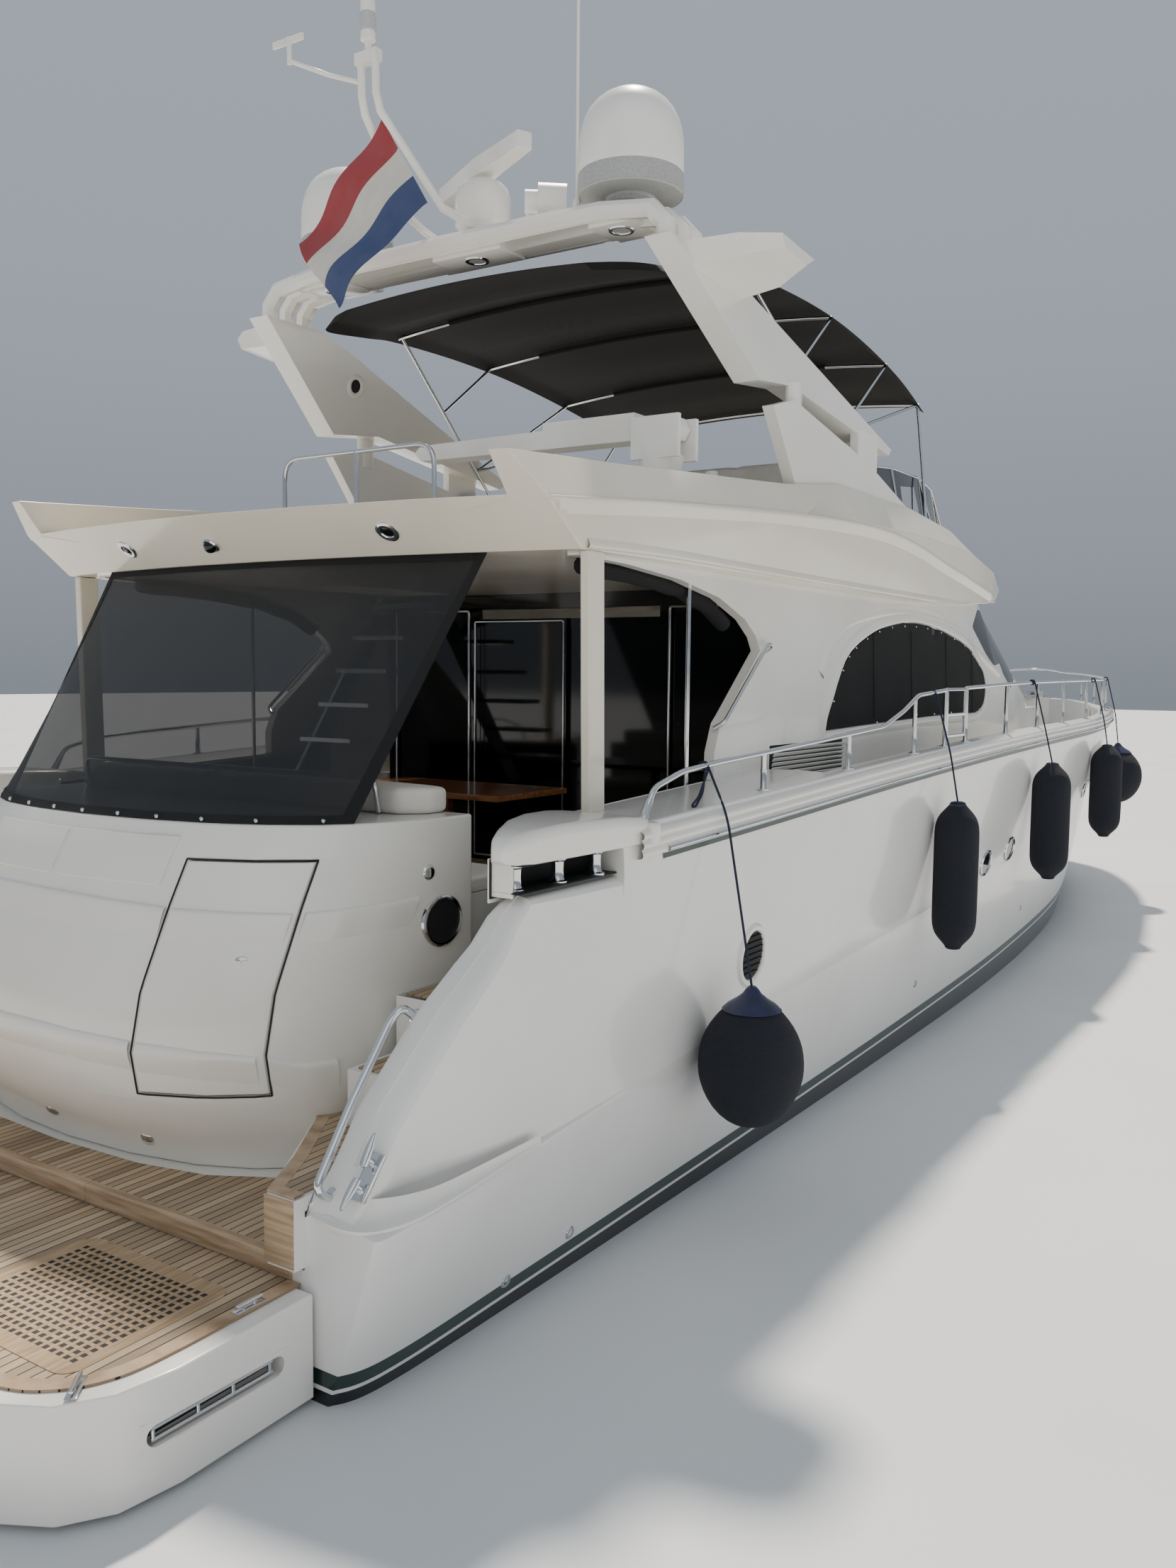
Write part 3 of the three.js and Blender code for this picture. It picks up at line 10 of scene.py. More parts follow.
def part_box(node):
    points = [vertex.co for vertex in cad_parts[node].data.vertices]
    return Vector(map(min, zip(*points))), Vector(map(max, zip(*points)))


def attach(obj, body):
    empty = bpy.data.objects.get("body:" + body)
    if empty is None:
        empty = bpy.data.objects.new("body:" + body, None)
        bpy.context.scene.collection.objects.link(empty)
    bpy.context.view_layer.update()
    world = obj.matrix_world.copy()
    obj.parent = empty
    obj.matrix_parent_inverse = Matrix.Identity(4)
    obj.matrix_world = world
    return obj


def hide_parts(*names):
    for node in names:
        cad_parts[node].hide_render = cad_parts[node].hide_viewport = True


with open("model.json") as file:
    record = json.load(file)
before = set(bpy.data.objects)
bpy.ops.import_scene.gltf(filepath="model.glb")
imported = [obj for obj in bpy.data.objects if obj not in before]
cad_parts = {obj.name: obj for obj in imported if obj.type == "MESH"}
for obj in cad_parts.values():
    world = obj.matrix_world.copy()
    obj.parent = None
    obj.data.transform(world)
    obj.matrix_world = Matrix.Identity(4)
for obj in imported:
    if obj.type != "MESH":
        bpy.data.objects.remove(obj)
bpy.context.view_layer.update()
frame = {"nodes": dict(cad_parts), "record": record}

# The view: someone on the quay, level with the side deck, looks forward and to
# port over the starboard quarter with a wide lens.
lens = bpy.data.cameras.new("view")
lens.sensor_fit = "AUTO"
lens.sensor_width = 36
# The fitted focal length is 1800 pixels of a picture 2212 pixels high
lens.lens = lens.sensor_width * 1800 / 2212
lens.clip_end = 300
camera = bpy.data.objects.new("view", lens)
bpy.context.scene.collection.objects.link(camera)
bpy.context.scene.camera = camera
yaw, pitch, roll = (math.radians(a) for a in (33.24, 5.03, 0.55))
ahead = Vector((-math.sin(yaw) * math.cos(pitch), math.cos(yaw) * math.cos(pitch), -math.sin(pitch)))
right = Vector((math.cos(yaw), math.sin(yaw), 0))
over = right.cross(ahead)
across = right * math.cos(roll) + over * math.sin(roll)
upward = over * math.cos(roll) - right * math.sin(roll)
camera.matrix_world = Matrix((across, upward, -ahead)).transposed().to_4x4()
camera.location = (5.74, -3.5, 2.98)


# Fender lanyards: three-strand polyester, dark navy, each from a hitch on the
# guard rail over the bulwark cap and down to its fender's eye.
def linear(code):
    """An sRGB hex colour as the linear colour that a socket takes"""
    parts = [int(code[i:i + 2], 16) / 255 for i in (1, 3, 5)]
    return [p / 12.92 if p <= 0.04045 else ((p + 0.055) / 1.055) ** 2.4 for p in parts] + [1.0]


def node(tree, kind, inputs=None, stops=None, **settings):
    """Adds one node with its settings, its values or links, and a ramp's stops"""
    made = tree.nodes.new("ShaderNode" + kind)
    for key, value in settings.items():
        setattr(made, key, value)
    for key, value in (inputs or {}).items():
        if isinstance(value, bpy.types.NodeSocket):
            tree.links.new(value, made.inputs[key])
        else:
            made.inputs[key].default_value = value
    if stops:
        while len(made.color_ramp.elements) < len(stops):
            made.color_ramp.elements.new(0.5)
        for element, (at, code) in zip(made.color_ramp.elements, stops):
            element.position, element.color = at, linear(code)
    return made


def coat(name, code, roughness, **sockets):
    """A material with its uniform values on the shader, and its tree and shader"""
    made = bpy.data.materials.new(name)
    made.use_nodes = True
    shader = made.node_tree.nodes["Principled BSDF"]
    shader.inputs["Base Color"].default_value = linear(code)
    shader.inputs["Roughness"].default_value = roughness
    for key, value in sockets.items():
        shader.inputs[key.replace("_", " ")].default_value = value
    return made, made.node_tree, shader


def toned(tree, shader, source, stops, low=None, high=None):
    """Lets a pattern drive the colour, and the roughness between two values"""
    tone = node(tree, "ValToRGB", {"Fac": source}, stops=stops)
    tree.links.new(tone.outputs["Color"], shader.inputs["Base Color"])
    if low is not None:
        rough = node(tree, "MapRange", {"Value": source, "To Min": low, "To Max": high})
        tree.links.new(rough.outputs["Result"], shader.inputs["Roughness"])
    return tone


def raised(tree, shader, source, distance, strength=1.0):
    """Lets a pattern stand up from the surface by a distance in metres"""
    bump = node(tree, "Bump", {"Height": source, "Strength": strength, "Distance": distance})
    tree.links.new(bump.outputs["Normal"], shader.inputs["Normal"])


def place(tree):
    """Object coordinates in metres, for patterns of real size"""
    return node(tree, "TexCoord").outputs["Object"]


def rounded(corner, before, after, radius, steps=4):
    """Points round a corner between two neighbours, on an even curve"""
    corner, before, after = Vector(corner), Vector(before), Vector(after)
    a = corner + (before - corner).normalized() * min(radius, (before - corner).length * 0.5)
    b = corner + (after - corner).normalized() * min(radius, (after - corner).length * 0.5)
    return [a.lerp(corner, t).lerp(corner.lerp(b, t), t) for t in (k / steps for k in range(steps + 1))]


rope, tree, shader = coat("navy_three_strand_polyester_rope", "#151A26", 0.85)
strands = node(tree, "TexWave", {"Vector": place(tree), "Scale": 40.0, "Distortion": 1.5},
               bands_direction="DIAGONAL")
toned(tree, shader, strands.outputs["Fac"], [(0.2, "#111623"), (0.8, "#273149")], 0.75, 0.95)
raised(tree, shader, strands.outputs["Fac"], 0.0015)
# fender, the rail's centre line that it hangs from, the cap's outer edge and top
LANYARDS = (("fender_1", (2.463, 2.65, 2.474), (2.602, 2.222)),
            ("fender_2", (2.537, 6.24, 2.842), (2.685, 2.388)),
            ("fender_3", (2.54, 9.2, 2.92), (2.678, 2.452)),
            ("fender_4", (2.411, 12.5, 2.938), (2.546, 2.474)),
            ("fender_5", (2.074, 14.9, 2.953), (2.209, 2.49)))
# x and z of each fender's eye
REACH = {"fender_1": (2.782, 1.29), "fender_2": (2.764, 2.01), "fender_3": (2.76, 2.15),
         "fender_4": (2.604, 2.18), "fender_5": (2.27, 2.08)}
for fender, (rail_x, y, rail_z), (edge_x, edge_z) in LANYARDS:
    eye_x, eye_z = REACH[fender]
    start = Vector((rail_x + 0.024, y, rail_z + 0.004))
    bend = Vector((edge_x + 0.01, y, edge_z - 0.01))
    end = Vector((eye_x, y, eye_z - 0.012))
    line = [start.lerp(bend, k / 8) for k in range(7)] + rounded(bend, start, end, 0.1, 8)
    last = line[-1]
    line += [last.lerp(end, k / 8) for k in range(1, 9)]
    curve = bpy.data.curves.new(fender + "_lanyard", "CURVE")
    curve.dimensions = "3D"
    curve.bevel_depth = 0.007
    curve.bevel_resolution = 3
    curve.use_fill_caps = True
    spline = curve.splines.new("POLY")
    spline.points.add(len(line) - 1)
    for target, p in zip(spline.points, line):
        target.co = (*p, 1)
    curve.materials.append(rope)
    made = bpy.data.objects.new(fender + "_lanyard", curve)
    bpy.context.scene.collection.objects.link(made)
    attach(made, "hull")
    length = sum((b - a).length for a, b in zip(line, line[1:]))


# The studio: a pale matt floor where the water would be, a sky that darkens
# toward the horizon, a high key light from ahead to port and a wide, weak fill.
def mottled(name, code, roughness, scale, stops, low=None, high=None, detail=2.0, **sockets):
    """A material whose colour, and roughness if its two values are given, follow an even noise"""
    made, tree, shader = coat(name, code, roughness, **sockets)
    noise = node(tree, "TexNoise", {"Vector": place(tree), "Scale": scale, "Detail": detail})
    toned(tree, shader, noise.outputs["Fac"], stops, low, high)
    return made


matt = mottled("pale_floor_paint", "#D9DBDC", 0.85, 0.4, [(0.3, "#D5D8DA"), (0.7, "#DDDFE0")], detail=3.0)
ground = bmesh.new()
bmesh.ops.create_grid(ground, x_segments=2, y_segments=2, size=120)
floor_mesh = bpy.data.meshes.new("floor")
ground.to_mesh(floor_mesh)
ground.free()
floor_mesh.materials.append(matt)
floor = bpy.data.objects.new("floor", floor_mesh)
bpy.context.scene.collection.objects.link(floor)
sky = bpy.data.worlds.new("studio")
sky.use_nodes = True
bpy.context.scene.world = sky
glow = sky.node_tree.nodes["Background"]
heading = node(sky.node_tree, "SeparateXYZ", {"Vector": node(sky.node_tree,
                                                             "TexCoord").outputs["Generated"]})
upward = node(sky.node_tree, "MapRange", {"Value": heading.outputs["Z"], "From Min": -1.0})
dome_tone = node(sky.node_tree, "ValToRGB", {"Fac": upward.outputs["Result"]},
                 stops=[(0.0, "#7A828A"), (0.49, "#A0A9B2"), (0.54, "#B2BBC5"), (0.64, "#C6D0DC"),
                        (1.0, "#D8E2EE")])
sky.node_tree.links.new(dome_tone.outputs["Color"], glow.inputs["Color"])
glow.inputs["Strength"].default_value = 0.68
for name, turn, angle, power, code in (("key", (-0.5, -0.3, 0.0), 3, 5.6, "#FFF5E8"),
                                       ("fill", (0.95, 0.0, 0.75), 50, 0.35, "#FFF8EE")):
    sun = bpy.data.lights.new(name, "SUN")
    sun.angle = math.radians(angle)
    sun.energy = power
    sun.color = linear(code)[:3]
    lamp = bpy.data.objects.new(name, sun)
    lamp.rotation_euler = turn
    bpy.context.scene.collection.objects.link(lamp)

# Hull: a glass-fibre shell moulded in one, white gelcoat outside. The topsides
# roll over into the bulwark cap, and aft they slope down as two quarter wings.
# y, keel z, chine x and z, crease x and z, shelf x, top x, rail z, cap z
HULL = [
    [0.06, -0.88, 2.08, -0.16, 2.37, 0.76, 2.29, 2.38, 1.99, 2.15],
    [0.3, -0.9, 2.17, -0.16, 2.48, 0.78, 2.33, 2.43, 2.0, 2.165],
    [1.2, -0.96, 2.21, -0.15, 2.48, 0.84, 2.455, 2.5, 2.03, 2.2],
    [3.0, -1.04, 2.25, -0.13, 2.49, 0.96, 2.49, 2.56, 2.11, 2.28],
    [6.0, -1.1, 2.28, -0.1, 2.5, 1.09, 2.5, 2.62, 2.24, 2.4],
    [9.0, -1.1, 2.25, -0.05, 2.46, 1.21, 2.46, 2.62, 2.32, 2.47],
    [12.0, -1.06, 2.07, 0.04, 2.33, 1.36, 2.33, 2.52, 2.35, 2.49],
    [14.0, -0.96, 1.76, 0.16, 2.07, 1.49, 2.07, 2.31, 2.37, 2.5],
    [16.0, -0.72, 1.26, 0.38, 1.6, 1.63, 1.6, 1.93, 2.39, 2.52],
    [17.5, -0.3, 0.77, 0.68, 1.1, 1.76, 1.1, 1.47, 2.41, 2.55],
    [18.7, 0.52, 0.3, 1.12, 0.52, 1.9, 0.52, 0.88, 2.44, 2.59],
    [19.5, 1.9, 0.024, 1.96, 0.03, 2.08, 0.03, 0.06, 2.48, 2.62],
]
# y and z along each wing's sloping edge, from its foot to the quarter cap
WING_EDGE = [(0.06, 0.775), (0.09, 0.84), (0.31, 1.18), (0.6, 1.54), (0.92, 1.845), (0.955, 1.985),
             (1.74, 1.985)]


def eased(p, q, r, s, t):
    """A value on the smooth curve between q and r"""
    a, b = (r - p) / 2, (s - q) / 2
    return q + t * (a + t * (3 * (r - q) - 2 * a - b + t * (2 * (q - r) + a + b)))


def rows_between(rows, steps):
    """Rows of a table with steps more in each gap, on smooth curves through them"""
    made = []
    for i in range(len(rows) - 1):
        p, q, r, s = rows[max(i - 1, 0)], rows[i], rows[i + 1], rows[min(i + 2, len(rows) - 1)]
        made += [[eased(*c, k / steps) for c in zip(p, q, r, s)] for k in range(steps)]
    return made + [list(rows[-1])]


def looked_up(rows, at, column):
    """Value of a column where column 0 has the given value, by straight lines"""
    for a, b in zip(rows, rows[1:]):
        if at <= b[0] or b is rows[-1]:
            return a[column] + (b[column] - a[column]) * (at - a[0]) / (b[0] - a[0])


def skin(shape, rows):
    """A sheet of quads through rows of points, from a grid whose vertices are moved to them"""
    made = bmesh.ops.create_grid(shape, x_segments=len(rows[0]) - 1, y_segments=len(rows) - 1,
                                 size=1)["verts"]
    for v in made:
        i = round((v.co.x + 1) / 2 * (len(rows[0]) - 1))
        j = round((v.co.y + 1) / 2 * (len(rows) - 1))
        v.co = rows[j][i]
    return made


def piece(name, shape, material, body="hull", crease=32):
    """A finished object from a bmesh, smooth but for edges sharper than crease, on its body"""
    for f in shape.faces:
        f.smooth = True
    for e in shape.edges:
        e.smooth = len(e.link_faces) == 2 and e.calc_face_angle(0) < math.radians(crease)
    mesh = bpy.data.meshes.new(name)
    shape.to_mesh(mesh)
    shape.free()
    for m in material if isinstance(material, (list, tuple)) else [material]:
        mesh.materials.append(m)
    made = bpy.data.objects.new(name, mesh)
    bpy.context.scene.collection.objects.link(made)
    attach(made, body)
    return made


def soften(made, width, segments=2, angle=40):
    """A small radius on the sharp edges of a moulding"""
    bevel = made.modifiers.new("edge", "BEVEL")
    bevel.width, bevel.segments = width, segments
    bevel.limit_method, bevel.angle_limit = "ANGLE", math.radians(angle)
    bevel.harden_normals = True
    return made


bodies = {n: b for b, names in frame["record"]["behaviour"]["bodies"].items() for n in names}


def merged(cad):
    """A joined-up copy of a CAD node's loose triangles, its flat faces made whole"""
    shape = bmesh.new()
    shape.from_mesh(frame["nodes"][cad].data)
    bmesh.ops.remove_doubles(shape, verts=shape.verts, dist=0.0001)
    bmesh.ops.dissolve_limit(shape, angle_limit=math.radians(0.6), verts=shape.verts, edges=shape.edges)
    return shape


def dressed(cad, material, width=0.008, segments=2, crease=32):
    """A CAD node's own shape with softened edges, standing for the node"""
    made = piece(cad + "_finished", merged(cad), material, bodies[cad], crease)
    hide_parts(cad)
    return soften(made, width, segments) if width else made


# Gelcoat: polyester sprayed in a polished mould, then waxed; glossy, with a faint
# cream cast and a slow waviness from the laminate behind it.
def maths(tree, operation, first, second=None):
    """The result of one operation on values or links"""
    values = {0: first} if second is None else {0: first, 1: second}
    return node(tree, "Math", values, operation=operation).outputs[0]


def gelcoat(name, light, shade):
    """A gelcoat between two tints, with its tree, its shader and the ramp of its tints"""
    made, tree, shader = coat(name, light, 0.22, Coat_Weight=0.35)
    shader.inputs["Coat Roughness"].default_value = 0.06
    clouds = node(tree, "TexNoise", {"Vector": place(tree), "Scale": 0.9, "Detail": 4.0})
    tone = toned(tree, shader, clouds.outputs["Fac"], [(0.35, shade), (0.65, light)])
    fine = node(tree, "TexNoise", {"Vector": place(tree), "Scale": 60.0, "Detail": 2.0})
    wax = node(tree, "MapRange", {"Value": fine.outputs["Fac"], "To Min": 0.17, "To Max": 0.3})
    tree.links.new(wax.outputs["Result"], shader.inputs["Roughness"])
    wave = node(tree, "TexNoise", {"Vector": place(tree), "Scale": 2.2, "Detail": 1.0})
    raised(tree, shader, wave.outputs["Fac"], 0.004, 0.12)
    return made, tree, shader, tone


white = gelcoat("white_gelcoat", "#F1EFE9", "#EBE8E0")[0]
# Painted shade: a warm-tinted copy of the white gelcoat for the flybridge, which stands in shade
shade_cream = gelcoat("white_gelcoat_painted_warm_shade", "#EEE7D8", "#E6DECC")[0]
topside, tree, shader, tone = gelcoat("white_topside_gelcoat_with_boot_stripes", "#F0EFEB", "#E8E7E2")
# The boot stripes rise forward with the chine: their height is taken off a slope.
height = node(tree, "SeparateXYZ", {"Vector": place(tree)})
lift = node(tree, "MapRange", {"Value": height.outputs["Y"], "From Min": 0.0, "From Max": 19.0,
                               "To Min": 0.0, "To Max": 0.34})
above = maths(tree, "SUBTRACT", height.outputs["Z"], lift.outputs["Result"])
band = node(tree, "MapRange", {"Value": above, "From Min": -0.4, "From Max": 0.6})
STRIPE_TOP = 0.545
stripes = node(tree, "ValToRGB", {"Fac": band.outputs["Result"]},
               stops=[(0.0, "#101317"), (0.455, "#E9E8E4"), (0.475, "#16302C"), (STRIPE_TOP, "#000000")])
stripes.color_ramp.interpolation = "CONSTANT"
where = maths(tree, "GREATER_THAN", band.outputs["Result"], STRIPE_TOP)
paint = node(tree, "Mix", {"Factor": where, 6: stripes.outputs["Color"], 7: tone.outputs["Color"]},
             data_type="RGBA")
tree.links.new(paint.outputs[2], shader.inputs["Base Color"])


def flank(row, z):
    """Half the hull's width at a height over the knuckle"""
    crease_z, shelf_x, top_x, rail_z, cap_z = row[5:]
    side = [(crease_z, shelf_x), ((crease_z + rail_z) / 2, (shelf_x + top_x) / 2 + 0.015), (rail_z, top_x),
            (rail_z + 0.11, top_x), (cap_z, top_x - 0.025)]
    return looked_up(side, z, 1)


# Where the bulwark's inner wall steps: the wings' roots, the cockpit's two ends and the stem
WING_ROOT, COCKPIT_AFT, COCKPIT_FORE, STEM = 1.745, 1.75, 4.3, 19.1


def inside(y):
    """Half the width inside the bulwark at a place along the hull"""
    if y < COCKPIT_AFT:
        return 2.05
    if y < COCKPIT_FORE:
        return 1.98
    return max(looked_up(stations, y, 7) - 0.17, 0.02) if y < STEM else 0.0


# y and x of the wings' inner brink
WING_LIP = [(0.0, 2.085), (0.31, 2.115), (0.6, 2.19), (0.84, 2.26), (1.01, 2.34), (1.74, 2.34)]


def section(row, step):
    """The starboard section at one place, from the chine over the cap to the deck"""
    y, _, chine_x, chine_z, crease_x, crease_z, shelf_x, top_x, rail_z, cap_z = row
    aft = y + step < WING_ROOT
    top = min(cap_z, looked_up(WING_EDGE, min(y, 1.74), 1)) if aft else cap_z
    if y < 0.3:
        tuck = 0.11 * (1 - math.sqrt(max(1 - ((0.3 - y) / 0.24) ** 2, 0)))
        crease_x = 2.48 - tuck * 0.4
        shelf_x, top_x = 2.33 - tuck * 0.35, 2.43 - tuck * 1.15
        row = [y, 0, 0, 0, crease_x, crease_z, shelf_x, top_x, rail_z, cap_z]
    inner = inside(y + step)
    brink = looked_up(WING_LIP, max(y, 0), 1) if aft else inner
    ledge_z = (0.86 if y < 0.74 else 1.13 if y < 1.13 else 1.41) if aft else cap_z - 0.05
    floor_z = (0.54 if aft else 1.38) if y + step < COCKPIT_FORE else 2.081
    low = Vector((chine_x, y, chine_z))
    spray = Vector((chine_x + 0.04, y, chine_z + 0.02))
    knuckle = Vector((crease_x, y, crease_z))
    top = max(top, crease_z + 0.03)
    points = [low, spray]
    points += [spray.lerp(knuckle, k / 6) + Vector((0.012 * math.sin(math.pi * k / 6), 0, 0))
               for k in range(1, 6)]
    points += rounded(knuckle, spray, (shelf_x, y, crease_z + 0.012), 0.012, 2)
    # A short way under the top the side rolls over, widely on the wings
    ledge_z = min(ledge_z, top - 0.03)
    outer = min(0.16 if aft else 0.03, (top - crease_z) * 0.5, (top_x - brink) * 0.7)
    foot = max(crease_z + 0.012, 0)
    start = max(top - outer, foot + 0.004)
    points += [Vector((flank(row, foot + (start - foot) * k / 7), y, foot + (start - foot) * k / 7))
               for k in range(8)]
    edge = Vector((flank(row, start), y, top))
    crown = 0.012 if not aft else 0.03
    lip = Vector((brink, y, top))
    shelf = Vector((inner, y, ledge_z))
    points += rounded(edge, points[-1], lip, outer, 5)[1:]
    middle = edge.lerp(lip, 0.5) + Vector((0, 0, crown * min(1, (edge.x - brink) * 2)))
    points += [middle]
    points += rounded(lip, middle, shelf, min(0.035, (edge.x - brink) * 0.3), 3)
    points += [shelf, Vector((inner, y, floor_z)), Vector((max(inner - 0.05, 0), y, floor_z))]
    return points


stations = rows_between(HULL, 6)
fine = rows_between(HULL[:4], 14)
places = [r for r in fine if r[0] < 2.99] + [r for r in stations if r[0] >= 3.0]


def station_at(y):
    """The row of the hull's table at any place along it"""
    return [y] + [looked_up(places, y, k) for k in range(1, 10)]


places = sorted(places + [station_at(y) for y in (0.075, 0.1, 0.14, 0.2, 0.26)], key=lambda r: r[0])
ordered = []
for row in places:
    for y in (WING_ROOT, COCKPIT_AFT, COCKPIT_FORE, STEM):
        if ordered and ordered[-1][0][0] < y <= row[0]:
            ordered += [(station_at(y), -0.002), (station_at(y), 0.002)]
    ordered.append((row, 0))
sections = [section(row, step) for row, step in ordered]


def twinned(shape, merge=0.0):
    """Adds the mirror image on the other side"""
    bmesh.ops.mirror(shape, geom=shape.verts[:] + shape.edges[:] + shape.faces[:], axis="X",
                     merge_dist=merge)
    bmesh.ops.recalc_face_normals(shape, faces=shape.faces)


shell = bmesh.new()
skin(shell, sections)
end = [v for v in shell.verts if abs(v.co.y - sections[0][0].y) < 1e-5 and v.co.z > -5]
end.sort(key=lambda v: min(range(len(sections[0])), key=lambda k: (sections[0][k] - v.co).length))
keel = shell.verts.new((0, 0.06, -0.88))
sill = shell.verts.new((0, 0.06, 0.54))
shell.faces.new([keel] + end + [sill])
twinned(shell, 0.0005)
bmesh.ops.remove_doubles(shell, verts=shell.verts, dist=0.0002)
bmesh.ops.recalc_face_normals(shell, faces=shell.faces)

# Inside and underneath, the CAD hull's own decks, wells and running-gear brackets
# stay; its outer faces give way to the smooth shell.
within = merged("hull")
drop = []
for f in within.faces:
    middle = f.calc_center_median()
    chine = looked_up(stations, max(middle.y, 0.06), 3)
    upright = all(any(abs(abs(v.co.x) - inside(v.co.y + e)) < 0.012 for e in (0, -0.004, 0.004))
                  for v in f.verts)
    # Where the bulwark's inner wall steps, the shell brings its own faces
    step_face = any(all(abs(v.co.y - y) < 0.004 and abs(v.co.x) > 1.9 and v.co.z > 1.37 for v in f.verts)
                    for y in (COCKPIT_AFT, COCKPIT_FORE))
    outside_wall = any(abs(v.co.x) > inside(v.co.y) + 0.012 for v in f.verts)
    ledge = all(abs(v.co.x) < 2.058 and v.co.z > 0.46 for v in f.verts)
    ledge_end = ledge and all(v.co.y < 0.115 for v in f.verts)
    stern = all(v.co.y < 0.062 for v in f.verts)
    below = middle.z < chine - 0.004
    if not ledge_end and (stern or step_face or (not below and (upright or outside_wall))):
        drop.append(f)
bmesh.ops.delete(within, geom=drop, context="FACES")
temporary = bpy.data.meshes.new("inner_faces")
within.to_mesh(temporary)
within.free()
shell.from_mesh(temporary)
bpy.data.meshes.remove(temporary)
hull = piece("hull_shell", shell, topside, "hull", 28)
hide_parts("hull")

# Wing foot: where a wing runs out over the stern's corner, its laminate flares into
# a lip that sheds water, moulded with the hull.
lips = bmesh.new()
# x, y, z along the lip, and how much of its full swell it has there
LIP = ((2.06, 0.075, 0.782, 0.0), (2.1, 0.055, 0.782, 0.6), (2.2, 0.042, 0.78, 1.0),
       (2.3, 0.046, 0.776, 1.0), (2.385, 0.085, 0.776, 1.0), (2.442, 0.16, 0.782, 0.9),
       (2.478, 0.28, 0.79, 0.7), (2.492, 0.45, 0.802, 0.45), (2.494, 0.75, 0.823, 0.25),
       (2.492, 1.1, 0.85, 0.0))
lip_rows = []
line = [Vector(p[:3]) for p in rows_between([list(p) for p in LIP], 5)]
swell = [p[3] for p in rows_between([list(p) for p in LIP], 5)]
for k, (p, full) in enumerate(zip(line, swell)):
    along = (line[min(k + 1, len(line) - 1)] - line[max(k - 1, 0)]).normalized()
    out_of = Vector((along.y, -along.x, 0)).normalized()
    lip_rows.append([p + out_of * (reach * full - 0.004) + Vector((0, 0, up * (0.35 + 0.65 * full)))
                     for reach, up in ((-0.02, -0.05), (0.012, -0.012), (0.02, 0.0), (0.018, 0.008),
                                       (0.004, 0.011), (-0.03, 0.018), (-0.055, 0.034), (-0.072, 0.06),
                                       (-0.085, 0.1))])
skin(lips, lip_rows)
twinned(lips)
for side in (1, -1):
    half = [f for f in lips.faces if f.calc_center_median().x * side > 0]
    if sum(f.normal.z * f.calc_area() for f in half) < 0:
        bmesh.ops.reverse_faces(lips, faces=half)
piece("wing_foot_lips", lips, white, "hull", 60)


# Sheer moulding: a white lip and band bolted along the hull-deck joint, with a
# half-round stainless strip on it and a dark green line painted under it.
def polished(name, code="#D4D6D8", rough=0.09):
    """Stainless tube and castings, buffed to a mirror and lightly fingered"""
    made, tree, shader = coat(name, code, rough, Metallic=1.0)
    smear = node(tree, "TexNoise", {"Vector": place(tree), "Scale": 18.0, "Detail": 3.0})
    haze = node(tree, "MapRange", {"Value": smear.outputs["Fac"], "To Min": rough * 0.6,
                                   "To Max": rough * 2.0})
    tree.links.new(haze.outputs["Result"], shader.inputs["Roughness"])
    return made


stainless = polished("polished_stainless_steel")
green = mottled("dark_green_line_enamel", "#173833", 0.3, 5.0, [(0.3, "#12302B"), (0.7, "#1C3F39")],
                detail=3.0)


def along_side(profile, start, name, material, crease=50):
    """A band swept along both sides of the hull from start to the stem"""
    shape = bmesh.new()
    run = [station_at(start)] + [r for r in places if r[0] > start + 0.05]
    rows = [[Vector((r[7] + out, r[0], r[8] + up)) for out, up in profile] for r in run]
    skin(shape, rows)
    twinned(shape)
    bmesh.ops.holes_fill(shape, edges=[e for e in shape.edges if e.is_boundary and
                                       all(v.co.y < start + 0.02 for v in e.verts)], sides=0)
    bmesh.ops.recalc_face_normals(shape, faces=shape.faces)
    return piece(name, shape, material, "hull", crease)


band = along_side([(-0.004, -0.002), (0.018, 0.0), (0.028, 0.006), (0.032, 0.018), (0.028, 0.036),
                   (0.022, 0.046), (0.03, 0.05), (0.036, 0.058), (0.037, 0.07), (0.033, 0.08),
                   (0.024, 0.088), (0.024, 0.096), (0.034, 0.1), (0.038, 0.112), (0.034, 0.128),
                   (0.012, 0.14), (-0.02, 0.146)],
                  1.86, "sheer_moulding", white)
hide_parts("rub_rail")
along_side([(0.026, 0.006), (0.037, 0.009), (0.043, 0.018), (0.044, 0.024), (0.041, 0.032), (0.03, 0.037)],
           2.1, "sheer_steel_strip", stainless)
along_side([(-0.002, -0.034), (0.004, -0.032), (0.004, -0.004), (-0.002, -0.002)], 2.1, "sheer_green_line",
           green)


# Quarter cap: a white moulding over each warping fairlead, screwed along its
# lower edge, with three polished rollers between it and the sill.
def append(shape, part, matrix=None):
    """Moves one bmesh into another, its normals outward"""
    if matrix:
        part.transform(matrix)
    bmesh.ops.recalc_face_normals(part, faces=part.faces)
    mesh = bpy.data.meshes.new("part")
    part.to_mesh(mesh)
    part.free()
    shape.from_mesh(mesh)
    bpy.data.meshes.remove(mesh)


def aimed(at, axis=(0, 0, 1)):
    """The placing that puts the origin at a point and +Z along an axis"""
    return Matrix.Translation(at) @ Vector((0, 0, 1)).rotation_difference(Vector(axis)).to_matrix().to_4x4()


